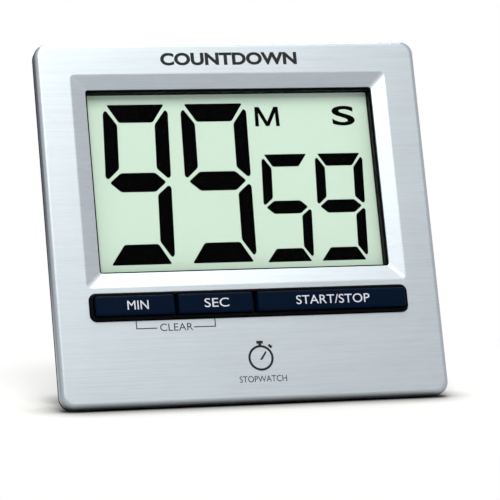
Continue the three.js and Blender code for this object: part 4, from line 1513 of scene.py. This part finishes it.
@dataclass
class RearHousing:
    """Charcoal shell with the cell's bay, the door's slot, the leg's well, cups and sound holes.

    Args:
        shop: The workshop.
        corner: Corner radius seen from behind.
        edge: Radius of the back edge.
        wall: Thickness of the walls.
        bay_wall: Thickness of the inner walls.
        slip: Room round what slides.
        fit: Room round what drops in.
        rim: Eased width of the openings' rims.
        leg_half: Half the thickness of the leg.
        lug: Thickness of the lugs that hold the pin.
        well_wall: Thickness of the walls round the leg's well.
        contact_room: Room for a contact at each end of the bay.
        heel_gap: How far below the door the leg's well ends.
        screw_post: Radius of the posts round the screw wells.
        screw_bore: Radius of the hole for a screw's shank.
        head_room: Room round a screw's head.
        screw_well: Depth of the screw wells.
        ring: Radius of the ring of sound holes.
        hole: Radius of a sound hole.
        holes: Sound holes in the ring.
    """

    shop: Workshop
    corner: float = CASE_CORNER
    edge: float = CASE_EDGE
    wall: float = 1.6
    bay_wall: float = 1.0
    slip: float = 0.2
    fit: float = 0.15
    rim: float = 0.3
    leg_half: float = 1.3
    lug: float = 3.4
    well_wall: float = 1.5
    contact_room: float = 1.4
    heel_gap: float = 2.9
    screw_post: float = 4.0
    screw_bore: float = 1.35
    head_room: float = 0.4
    screw_well: float = 8.5
    ring: float = 3.2
    hole: float = 0.7
    holes: int = 6

    def __post_init__(self) -> None:
        """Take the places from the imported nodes."""
        face = self.shop.face
        self.case = face.extent("rear_housing")
        self.door = face.extent("battery_door")
        self.cell = face.extent("battery_cell")
        self.pin = face.extent("stand_hinge_pin")
        self.leg = face.extent("stand_leg")
        self.magnets = [face.extent(node) for node in MAGNET_NODES]
        self.buzzer = face.extent("piezo_disc")
        self.screws = [face.extent(node) for node in CASE_SCREWS]
        self.back = self.case.y1
        spring, plate = face.extent("battery_spring_contact"), face.extent("battery_plate_contact")
        half = max(-spring.x0, plate.x1) - self.bay_wall - self.contact_room
        self.bay = replace(self.cell.grown(2 * self.slip), x0=-half, x1=half, y0=self.cell.y0 - 0.3)
        self.well_half = self.leg.x1 + 2 * self.slip
        self.well_floor = self.pin.centre.y - self.leg_half - 2 * self.fit
        self.heel_top = self.door.z0 - self.fit - self.heel_gap

    def build(self) -> Piece:
        """Make the shell as one solid."""
        case, back = self.case, self.back
        inner = case.grown(-self.wall).deep(case.y0 - 1, back - self.wall)
        cavity = carve(panel(inner, self.corner - self.wall, 0.0, self.edge - self.wall),
                       (Cut.REMOVE, self.thick_walls()))
        shape = carve(panel(case, self.corner, 0.0, self.edge, edge_steps=6), (Cut.REMOVE, [cavity]),
                      (Cut.REMOVE, self.cell_hollows()), (Cut.REMOVE, self.leg_hollows()),
                      (Cut.REMOVE, self.round_hollows()), (Cut.REMOVE, self.sound_holes()))
        return self.shop.piece("rear_shell", shape, Finishes.CASE, "case", ["rear_housing"])

    def thick_walls(self) -> list[Mesh]:
        """What the cavity leaves standing, a little past the cavity's own walls."""
        case, bay, thick, deep = self.case, self.bay, self.bay_wall, self.back + CLEAR
        slot = self.door.grown(0.0, self.fit + thick)
        half, well, pin = self.well_half, self.well_wall, self.pin.centre
        top = self.heel_top + well
        solids = [
            block(bay.grown(thick).deep(bay.y0 - thick, deep)),
            block(replace(slot, y0=self.door.y0 - thick - self.fit, y1=deep,
                          z0=self.door.z0 - thick - 2 * self.fit, z1=case.z1 + CLEAR)),
            block(Slab(-half - well, half + well, self.well_floor - well, deep, case.z0 - CLEAR, top)),
            block(Slab(-half - self.lug, half + self.lug, pin.y - 3 * well, deep, pin.z - 4 * well, top)),
            rod(self.buzzer.centre.x, self.buzzer.centre.z, self.buzzer.width / 2,
                self.back - 2 * self.wall, deep),
        ]
        solids += [rod(screw.centre.x, screw.centre.z, self.screw_post, case.y0 + 3.45, deep)
                   for screw in self.screws]
        solids += [rod(magnet.centre.x, magnet.centre.z, magnet.width / 2 + 1.4, magnet.y0 - 1.05, deep)
                   for magnet in self.magnets]
        return solids

    def cell_hollows(self) -> list[Mesh]:
        """Bay, door opening, door slot, and the slots for the contacts' tabs and the lip's catches."""
        door, case, bay, fit = self.door, self.case, self.bay, self.fit
        high = case.z1 + 5 * CLEAR
        opening = replace(door.grown(0.0, fit - 1), y0=door.y0 - fit, y1=self.back + CLEAR,
                          z0=door.z0 - fit, z1=high)
        slot = replace(door.grown(0.0, fit), y0=door.y0 - fit - 0.01, y1=door.y0 + 0.8,
                       z0=door.z0 - fit, z1=high)
        tools = [panel(bay.deep(bay.y0, door.y0 + 0.2), 0.5), block(slot),
                 flared(opening, 0.4, self.back, self.rim)]
        middle, top = self.cell.centre.z, case.z1 - self.wall
        for side in (-1, 1):
            ends = sorted((side * (bay.x1 - 1), side * (bay.x1 + 2 * self.bay_wall)))
            tools.append(block(Slab(*ends, bay.y0 + 0.02, bay.y0 + 2, middle - 1.5, middle + 1.5)))
        for x in (-20.0, 20.0):
            tools.append(block(Slab(x - 4.2, x + 4.2, case.y0 + 0.35, case.y0 + 1.75, top - 1, top + 0.6)))
        return tools

    def leg_hollows(self) -> list[Mesh]:
        """Well of the leg, the room that its heel swings through, and the bore of its pin."""
        half, pin, steps = self.well_half, self.pin, 4
        y, z = pin.centre.y, pin.centre.z
        well = Slab(-half, half, self.well_floor, self.back + CLEAR, self.case.z0 - 5 * CLEAR, self.heel_top)
        tools = [flared(well, 0.5, self.back, self.rim), cross_rod(-half, half, y, z, 1.5),
                 cross_rod(pin.x0 - 0.2, pin.x1 + 0.2, y, z, pin.depth / 2 + 0.05)]
        for step in range(1, steps + 1):
            heel = block(Slab(-half, half, -self.leg_half - 0.05, self.leg_half + 0.05, 0.0, 3.2))
            swing(heel, leg_opening(self.shop.face) * step / steps, "X")
            bmesh.ops.translate(heel, vec=(0, y, z), verts=heel.verts)
            tools.append(heel)
        return tools

    def round_hollows(self) -> list[Mesh]:
        """Screw wells, magnet pockets and the hollow over the buzzer."""
        start, bore, tools = self.case.y0 - 0.05, self.screw_bore, []
        for screw in self.screws:
            well, step = screw.width / 2 + self.head_room, self.back - self.screw_well - start
            profile = [(0, 0), (bore, 0), (bore, step), (well, step),
                       *eased_end(well, self.back - start, self.rim)]
            tools.append(turned(profile, screw.centre.x, start, screw.centre.z))
        for magnet in self.magnets:
            tools.append(flared_hole(magnet.centre.x, magnet.centre.z, magnet.width / 2 + self.fit,
                                     magnet.y0 - 0.05, self.back, self.rim, 64))
        tools.append(rod(self.buzzer.centre.x, self.buzzer.centre.z, self.buzzer.width / 2 - self.wall,
                         self.case.y0 + CLEAR, self.back - self.wall))
        return tools

    def sound_holes(self) -> list[Mesh]:
        """Ring of holes, with one at its middle, that lets the buzzer be heard."""
        x, z = self.buzzer.centre.x, self.buzzer.centre.z
        holes = []
        for index in range(self.holes + 1):
            angle = 2 * math.pi * index / self.holes
            reach = 0.0 if index == self.holes else self.ring
            holes.append(flared_hole(x + reach * math.cos(angle), z + reach * math.sin(angle), self.hole,
                                     self.back - self.wall - CLEAR, self.back, 0.2, 20))
        return holes


def leg_opening(face: FaceFrame) -> float:
    """Angle between the folded leg and the open leg, in radians."""
    return face.lean + math.radians(LEG_SPLAY)


@dataclass
class BatteryDoor:
    """Sliding door with a hidden tongue, grip grooves and an arrow for its direction.

    Args:
        shop: The workshop.
        tongue: How far the tongue reaches past the skin at each side.
        tongue_thickness: Thickness of the tongue.
        groove: Depth of the grip grooves.
        groove_half: Half the length of a groove.
        grooves: Number of grooves.
        pitch: Distance from one groove to the next.
        margin: Height of the lowest groove above the door's foot, and of the arrow.
        arrow_half: Half the width of the arrow.
    """

    shop: Workshop
    tongue: float = 1.0
    tongue_thickness: float = 0.7
    groove: float = 0.35
    groove_half: float = 7.5
    grooves: int = 5
    pitch: float = 1.3
    margin: float = 3.2
    arrow_half: float = 2.6

    def build(self) -> Piece:
        """Make the door."""
        face = self.shop.face
        door, case = face.extent("battery_door"), face.extent("rear_housing")
        back, high = door.y1 + CLEAR, case.z1 + CLEAR
        outside = replace(door.grown(0.0, -self.tongue), y1=back, z1=high)
        inside = replace(door, y1=door.y0 + self.tongue_thickness, z1=high)
        first = door.z0 + self.margin
        cuts = []
        for index in range(self.grooves):
            low = first + index * self.pitch
            cuts.append(panel(Slab(-self.groove_half, self.groove_half, door.y1 - self.groove, back,
                                   low, low + 0.6 * self.pitch), 0.35, steps=4))
        foot = first + self.grooves * self.pitch + 0.9
        arrow = [(-self.arrow_half, foot), (self.arrow_half, foot), (0.0, foot + self.margin)]
        cuts.append(cut_out(arrow, door.y1 - 0.8 * self.groove, back, 0.25))
        shell = panel(case, CASE_CORNER, 0.0, CASE_EDGE, edge_steps=6)
        shape = carve(block(outside), (Cut.JOIN, [block(inside)]), (Cut.KEEP, [shell]), (Cut.REMOVE, cuts))
        return self.shop.piece("sliding_door", shape, Finishes.DOOR, "door", ["battery_door"], ease=0.14)


@dataclass
class StandLeg:
    """Leg with a round heel, a ribbed recess and a foot cut level with the bench.

    Args:
        shop: The workshop.
        thickness: Thickness of the leg.
        heel: How far the leg reaches above its pin.
        side_round: Radius of its long edges.
        recess: Depth of the recess in its outer face.
        border: Flat left round the recess.
        ribs: Ribs along the recess.
        rib_half: Half the width of a rib.
        pin_ease: Eased edge of the pin's ends.
    """

    shop: Workshop
    thickness: float = 2.6
    heel: float = 3.0
    side_round: float = 0.45
    recess: float = 0.55
    border: float = 2.6
    ribs: int = 3
    rib_half: float = 0.45
    pin_ease: float = 0.2

    def build(self) -> list[Piece]:
        """Make the leg and its pin."""
        face = self.shop.face
        packed = face.extent("stand_leg")
        pin = face.extent("stand_hinge_pin")
        half, thick = packed.x1, self.thickness / 2
        length = packed.height + self.thickness
        upright = panel(Slab(-thick, thick, -half, half, -1.3 * length, self.heel), thick - 0.02,
                        self.side_round, self.side_round)
        swing(upright, math.pi / 2, "Z")
        free = pin.centre.z - packed.z0
        hollow = Slab(-half + self.border, half - self.border, thick - self.recess, thick + 1,
                      -free - 3, -self.heel - 1.5)
        cuts = [flared(hollow, 1.2, thick, 0.25)]
        bars = []
        for index in range(self.ribs):
            x = hollow.x0 + hollow.width * (index + 1) / (self.ribs + 1)
            bars.append(block(Slab(x - self.rib_half, x + self.rib_half, thick - self.recess - 0.3,
                                   thick - 0.1, hollow.z0 - 0.4, hollow.z1 + 0.4), 0.12))
        blank = carve(upright, (Cut.REMOVE, cuts), (Cut.JOIN, bars),
                      (Cut.REMOVE, [cross_rod(-half - 1, half + 1, 0.0, 0.0, pin.depth / 2 + 0.1)]))
        swing(blank, leg_opening(face), "X")
        bmesh.ops.translate(blank, vec=(0, pin.centre.y, pin.centre.z), verts=blank.verts)
        shape = carve(blank, (Cut.REMOVE, [bench_block(face)]))
        made = self.shop.piece("ribbed_leg", shape, Finishes.LEG, "leg", ["stand_leg"])
        radius, end = pin.depth / 2, self.pin_ease
        profile = [(0, 0), (radius - end, 0), (radius, end), (radius, pin.width - end),
                   (radius - end, pin.width), (0, pin.width)]
        turned_pin = turned(profile, pin.x0, pin.centre.y, pin.centre.z, 32, along_x=True)
        return [made, self.shop.piece("turned_hinge_pin", turned_pin, Finishes.STEEL, "case",
                                      ["stand_hinge_pin"])]


@dataclass
class Fasteners:
    """Magnets and screws.

    Args:
        shop: The workshop.
        chamfer: Eased edge of a magnet.
        slot: Width of the slots of a screw's cross recess.
        shank: Radius of a screw's thread.
        pitch: Distance from one turn of the thread to the next.
        case_head: Height of a case screw's head.
        board_head: Height of a board screw's head.
        dome: Outline of a head, as parts of its radius and its height.
    """

    shop: Workshop
    chamfer: float = 0.3
    slot: float = 0.55
    shank: float = 0.95
    pitch: float = 0.6
    case_head: float = 1.6
    board_head: float = 1.2
    dome: tuple[Point, ...] = ((1.0, 0.45), (0.93, 0.68), (0.8, 0.86), (0.6, 0.96), (0.3, 1.0), (0.0, 1.0))

    def build(self) -> list[Piece]:
        """Make the magnets and every screw."""
        made = [self.magnet(node, name) for node, name in MAGNET_NODES.items()]
        made += [self.screw(node, self.case_head) for node in CASE_SCREWS]
        made += [self.screw(node, self.board_head) for node in BOARD_SCREWS]
        return made

    def magnet(self, node: str, name: str) -> Piece:
        """Turn one plated magnet.

        Args:
            node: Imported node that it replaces.
            name: Name of the piece.

        Returns:
            The piece.
        """
        place = self.shop.face.extent(node)
        radius, deep, ease = place.width / 2, place.depth, self.chamfer
        profile = [(0, 0), (radius - ease, 0), (radius, ease), (radius, deep - ease),
                   (radius - 0.3 * ease, deep - 0.3 * ease), (radius - ease, deep), (0, deep)]
        shape = turned(profile, place.centre.x, place.y0, place.centre.z, 72)
        return self.shop.piece(name, shape, Finishes.MAGNET, "case", [node])

    def screw(self, node: str, head: float) -> Piece:
        """Turn one pan-head screw and cut its cross recess.

        Args:
            node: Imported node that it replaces.
            head: Height of its head.

        Returns:
            The piece.
        """
        place = self.shop.face.extent(node)
        radius, shank, point = place.width / 2, self.shank, 0.9
        reach = place.depth - head
        profile = [(0.0, 0.0), (0.35, 0.0), (shank, point)]
        for index in range(int((reach - point - 0.5) / self.pitch)):
            start = point + self.pitch * index
            profile += [(shank - 0.2, start + 0.2), (shank - 0.2, start + 0.35), (shank, start + 0.5)]
        profile += [(shank, reach), (radius - 0.1, reach), (radius, reach + 0.1)]
        profile += [(across * radius, reach + up * head) for across, up in self.dome]
        body = turned(profile, place.centre.x, place.y0, place.centre.z, 40)
        half, arm, deep = self.slot / 2, 0.6 * radius, place.y1 - 0.6 * head
        x, z = place.centre.x, place.centre.z
        cross = [block(Slab(x - wide, x + wide, deep, place.y1 + CLEAR, z - tall, z + tall))
                 for wide, tall in ((arm, half), (half, arm))]
        shape = carve(body, (Cut.REMOVE, cross))
        return self.shop.piece(f"{node}_turned", shape, Finishes.STEEL, "case", [node])


@dataclass
class CellAndContacts:
    """Dry cell, its spring and its plate contact.

    Args:
        shop: The workshop.
        sheet: Thickness of the contact sheet.
        wire: Radius of the spring's wire.
        turns: Turns of the spring.
        wide_coil: Radius of the spring's first turn.
        small_coil: Radius of the spring's last turn.
        nub: Radius of the cell's nub.
    """

    shop: Workshop
    sheet: float = 0.4
    wire: float = 0.3
    turns: float = 2.5
    wide_coil: float = 3.2
    small_coil: float = 1.8
    nub: float = 1.9

    def build(self) -> list[Piece]:
        """Make the cell and both contacts."""
        cell = self.shop.face.extent("battery_cell")
        y, z, radius, long = cell.centre.y, cell.centre.z, cell.height / 2, cell.width
        can = [(0, 0.15), (radius - 1.2, 0.15), (radius - 1.1, 0.0), (radius - 0.5, 0.0), (radius, 0.45),
               (radius, long - 1.5), (radius - 0.25, long - 1.15), (radius - 0.8, long - 0.95),
               (radius - 1.2, long - 1.1), (0, long - 1.1)]
        nub = [(0, 0), (self.nub, 0), (self.nub, 0.85), (self.nub - 0.2, 1.05), (0, 1.05)]
        made = [
            self.shop.piece("cell_can", turned(can, cell.x0, y, z, 56, along_x=True), Finishes.WRAP, "case",
                            ["battery_cell"]),
            self.shop.piece("cell_nub", turned(nub, cell.x1 - 1.05, y, z, 40, along_x=True),
                            Finishes.NICKEL, "case"),
            self.spring(y, z, cell.x0),
        ]
        plate = self.shop.face.extent("battery_plate_contact")
        dimple = [(0, 0), (0.8, 0.05), (1.3, 0.25), (1.5, 0.6), (0, 0.6)]
        tab, blade = self.blade(plate, 1)
        bump = turned(dimple, blade.x0 - 0.4, y, z, 32, along_x=True)
        shape = carve(block(blade, 0.08), (Cut.JOIN, [block(tab, 0.06), bump]))
        made.append(self.shop.piece("plate_contact", shape, Finishes.NICKEL, "case",
                                    ["battery_plate_contact"]))
        return made

    def blade(self, contact: Slab, side: int) -> tuple[Slab, Slab]:
        """Boxes of a contact's tab and blade.

        Args:
            contact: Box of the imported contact.
            side: 1 for the right end of the bay, -1 for the left.

        Returns:
            The tab and the blade.
        """
        outer = contact.x1 if side > 0 else contact.x0
        face = outer - side * 2.45
        inner = face - side * self.sheet
        z = contact.centre.z
        tab_front = contact.y0 + 0.1
        tab = Slab(*sorted((inner, outer)), tab_front, tab_front + self.sheet, z - 1, z + 1)
        return tab, Slab(*sorted((inner, face)), contact.y0, contact.y1, z - 4, z + 4)

    def spring(self, y: float, z: float, end: float) -> Piece:
        """Wind the conical spring onto its blade.

        Args:
            y: Depth of the cell's axis.
            z: Height of the cell's axis.
            end: Flat end of the cell.

        Returns:
            The piece.
        """
        contact = self.shop.face.extent("battery_spring_contact")
        tab, blade = self.blade(contact, -1)
        start, stop = blade.x1 + 0.6 * self.wire, end - self.wire - 0.12
        steps = 60
        path = []
        for index in range(steps + 1):
            share = index / steps
            angle = 2 * math.pi * self.turns * share
            reach = self.wide_coil + (self.small_coil - self.wide_coil) * share
            path.append((start + (stop - start) * share, y + reach * math.cos(angle),
                         z + reach * math.sin(angle)))
        shape = gather([block(blade, 0.08), block(tab, 0.06), bent_wire(path, self.wire)])
        return self.shop.piece("spring_contact", shape, Finishes.NICKEL, "case", ["battery_spring_contact"])


def bent_wire(path: Sequence[tuple[float, float, float]], radius: float) -> Mesh:
    """Round wire along a path, with closed ends.

    Args:
        path: Points along its middle.
        radius: Radius of the wire.

    Returns:
        The closed mesh.
    """
    curve = bpy.data.curves.new("wire", "CURVE")
    curve.dimensions = "3D"
    curve.bevel_depth = radius
    curve.bevel_resolution = 3
    curve.use_fill_caps = True
    spline = curve.splines.new("POLY")
    spline.points.add(len(path) - 1)
    for point, place in zip(spline.points, path):
        point.co = (*place, 1.0)
    holder = bpy.data.objects.new("wire", curve)
    return face_out(settled(holder, [holder]))


INNER_NODES = {
    "circuit_board": Finishes.BOARD,
    "silicone_keypad": Finishes.SILICONE,
    "controller_chip": Finishes.EPOXY,
    "clock_crystal": Finishes.STEEL,
    "bypass_capacitor": Finishes.SLEEVE,
    "piezo_disc": Finishes.BRASS,
    "piezo_element": Finishes.CERAMIC,
    "battery_lead_positive": Finishes.RED,
    "battery_lead_negative": Finishes.BLACK,
    "buzzer_lead_1": Finishes.RED,
    "buzzer_lead_2": Finishes.BLACK,
}


# ---------------------------------------------------------------- the studio


@dataclass
class Studio:
    """Camera, floor, backdrop and lamps.

    Args:
        azimuth: Camera to the left of straight ahead, in degrees below zero.
        elevation: Camera above the horizon, in degrees.
        distance: Camera to its target, in metres.
        aim_right: Target to the right of the middle of the box, as the camera sees it.
        aim_up: Target above the middle of the box.
        lens: Focal length in millimetres on the default sensor.
        ambient: Level of the light from all round.
        floor_tone: Lightness of the floor.
        floor_radius: Radius of the floor, in metres.
        floor_gap: Gap that keeps the floor from lying in one plane with the timer's foot.
        painted_shadow_reach: Metres within which the floor's colour is darkened under the timer, a painted
            contact shadow.
        painted_shadow_power: How strongly that painted shadow darkens.
    """

    azimuth: float = -15.737
    elevation: float = 5.619
    distance: float = 0.71376
    aim_right: float = 0.00457
    aim_up: float = -0.00772
    lens: float = 211.56
    ambient: float = 0.45
    floor_tone: float = 0.7
    floor_radius: float = 12.0
    floor_gap: float = 0.00002
    painted_shadow_reach: float = 0.009
    painted_shadow_power: float = 1.9

    def build(self, low: Vector, high: Vector) -> None:
        """Set the studio up round the box of the timer.

        Args:
            low: Lowest corner of the box.
            high: Highest corner of the box.
        """
        self.centre = (low + high) / 2
        self.camera()
        self.world()
        self.floor(low.z)
        self.lamps()
        self.dark_card()
        bpy.context.scene.view_settings.view_transform = "Standard"

    def camera(self) -> None:
        """Make the camera and aim it."""
        back = self.towards(self.azimuth, self.elevation)
        turn = math.radians(self.azimuth)
        right = Vector((math.cos(turn), math.sin(turn), 0.0))
        target = self.centre + right * self.aim_right + back.cross(right) * self.aim_up
        data = bpy.data.cameras.new("camera")
        data.lens = self.lens
        data.clip_start, data.clip_end = 0.01, 50.0
        bpy.context.scene.camera = self.aimed("camera", data, target + back * self.distance, -back)

    def towards(self, azimuth: float, elevation: float) -> Vector:
        """Direction at degrees to the right of straight in front, and above the horizon."""
        turn, rise = math.radians(azimuth), math.radians(elevation)
        return Vector((math.sin(turn) * math.cos(rise), -math.cos(turn) * math.cos(rise), math.sin(rise)))

    def aimed(self, name: str, data: bpy.types.ID, place: Vector, way: Vector) -> Piece:
        """Put a camera or a lamp in its place, looking along a direction.

        Args:
            name: Its name.
            data: Its data.
            place: Where it stands.
            way: Direction in which it looks.

        Returns:
            The new object.
        """
        made = in_scene(name, data)
        made.location = place
        made.rotation_mode = "QUATERNION"
        made.rotation_quaternion = way.to_track_quat("-Z", "Y")
        return made

    def world(self) -> None:
        """White for the camera and in reflections, a plain level for everything else."""
        world = bpy.data.worlds.new("studio")
        world.use_nodes = True
        nodes = NodeTree(world.node_tree)
        rays = nodes.node("ShaderNodeLightPath").outputs
        mirrored = nodes.work_out("MAXIMUM", rays["Is Glossy Ray"], rays["Is Transmission Ray"])
        seen = nodes.work_out("MAXIMUM", rays["Is Camera Ray"], mirrored)
        level = nodes.node("ShaderNodeMix", {0: seen, 2: self.ambient, 3: 1.0}, data_type="FLOAT").outputs[0]
        light = nodes.node("ShaderNodeBackground", {"Color": (1, 1, 1, 1), "Strength": level})
        nodes.node("ShaderNodeOutputWorld", {"Surface": light.outputs[0]})
        bpy.context.scene.world = world

    def floor(self, level: float, near: float = 0.045, far: float = 0.13) -> None:
        """Pale floor that keeps the lamps' shadows, with a painted contact shadow under the timer, and turns
        pure white further out.

        Args:
            level: Height of the floor.
            near: Distance to which the floor is plainly lit.
            far: Distance past which it is white.
        """
        shape = bmesh.new()
        bmesh.ops.create_circle(shape, cap_ends=True, radius=self.floor_radius, segments=96)
        bmesh.ops.translate(shape, vec=(0, 0, level - self.floor_gap), verts=shape.verts)
        made = in_scene("floor", plain_mesh("floor", shape))
        sheet = NodeSheet("white_floor")
        place = sheet.node("ShaderNodeTexCoord").outputs["Object"]
        away = sheet.node("ShaderNodeVectorMath", {0: place}, operation="LENGTH").outputs["Value"]
        share = sheet.node("ShaderNodeMapRange", {"Value": away, "From Min": near, "From Max": far,
                                                  "To Min": 0.0, "To Max": 1.0},
                           interpolation_type="SMOOTHSTEP").outputs["Result"]
        # Painted shadow: ambient occlusion darkens the floor's colour towards black under the timer, standing
        # in for contact shade.
        cover = sheet.node("ShaderNodeAmbientOcclusion", {"Distance": self.painted_shadow_reach}, samples=8)
        deep = sheet.work_out("POWER", cover.outputs["AO"], self.painted_shadow_power)
        tone = sheet.blend(deep, (0.0, 0.0, 0.0), (self.floor_tone,) * 3)
        matt = sheet.node("ShaderNodeBsdfDiffuse", {"Color": tone})
        white = sheet.node("ShaderNodeEmission", {"Strength": 1.0})
        whole = sheet.node("ShaderNodeMixShader", {0: share, 1: matt.outputs[0], 2: white.outputs[0]})
        made.data.materials.append(sheet.ended(whole))
        made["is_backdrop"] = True

    def lamp(self, name: str, azimuth: float, elevation: float, distance: float, size: float, power: float,
             colour: Colour = (1.0, 1.0, 1.0)) -> None:
        """Hang one soft square lamp that looks at the timer.

        Args:
            name: Name of the lamp.
            azimuth: Degrees to the right of straight in front.
            elevation: Degrees above the horizon.
            distance: Metres from the middle of the timer.
            size: Length of its side.
            power: Power in watts.
            colour: Colour of its light.
        """
        data = bpy.data.lights.new(name, "AREA")
        data.shape = "SQUARE"
        data.size = size
        data.energy = power
        data.color = colour
        place = self.centre + self.towards(azimuth, elevation) * distance
        self.aimed(name, data, place, self.centre - place)

    def lamps(self) -> None:
        """Hang the soft key lamp at the upper left and a wide one overhead, a little behind."""
        self.lamp("key_lamp", -10.0, 55.0, 1.0, 0.6, 8.1, (1.0, 0.995, 0.93))
        self.lamp("top_lamp", 175.0, 66.0, 0.9, 0.45, 6.5)

    def dark_card(self) -> None:
        """Stand a dark card behind on the left, in metres, which only reflections see."""
        shape = block(Slab(-0.5, -0.02, 0.2, 0.202, -0.05, 0.35))
        made = in_scene("dark_card", plain_mesh("dark_card", shape))
        made.visible_camera = False
        made.visible_diffuse = False
        made.visible_shadow = False
        made.visible_transmission = False
        sheet = NodeSheet("dark_card")
        matt = sheet.principled({"Base Color": (0.05, 0.055, 0.08, 1.0), "Roughness": 1.0})
        made.data.materials.append(matt)
        made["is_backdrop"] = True


# ---------------------------------------------------------------- the whole timer


def main() -> None:
    """Load the frame, build every sub-assembly on it, and set the studio up."""
    logging.basicConfig(level=logging.INFO, format="%(name)s %(message)s")
    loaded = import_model()
    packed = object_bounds()
    face = FaceFrame(loaded)
    shop = Workshop(face)
    Studio().build(*packed)

    sheet = FaceSheet(shop)
    sheet.build()
    FrontMoulding(sheet).build()
    Display(shop).build()
    for key in KEYS:
        Key(shop, *key).build()
    FacePrints(sheet).build()
    RearHousing(shop).build()
    BatteryDoor(shop).build()
    StandLeg(shop).build()
    Fasteners(shop).build()
    CellAndContacts(shop).build()
    for node, finish in INNER_NODES.items():
        shop.dress(node, finish)


if __name__ == "__main__":
    main()
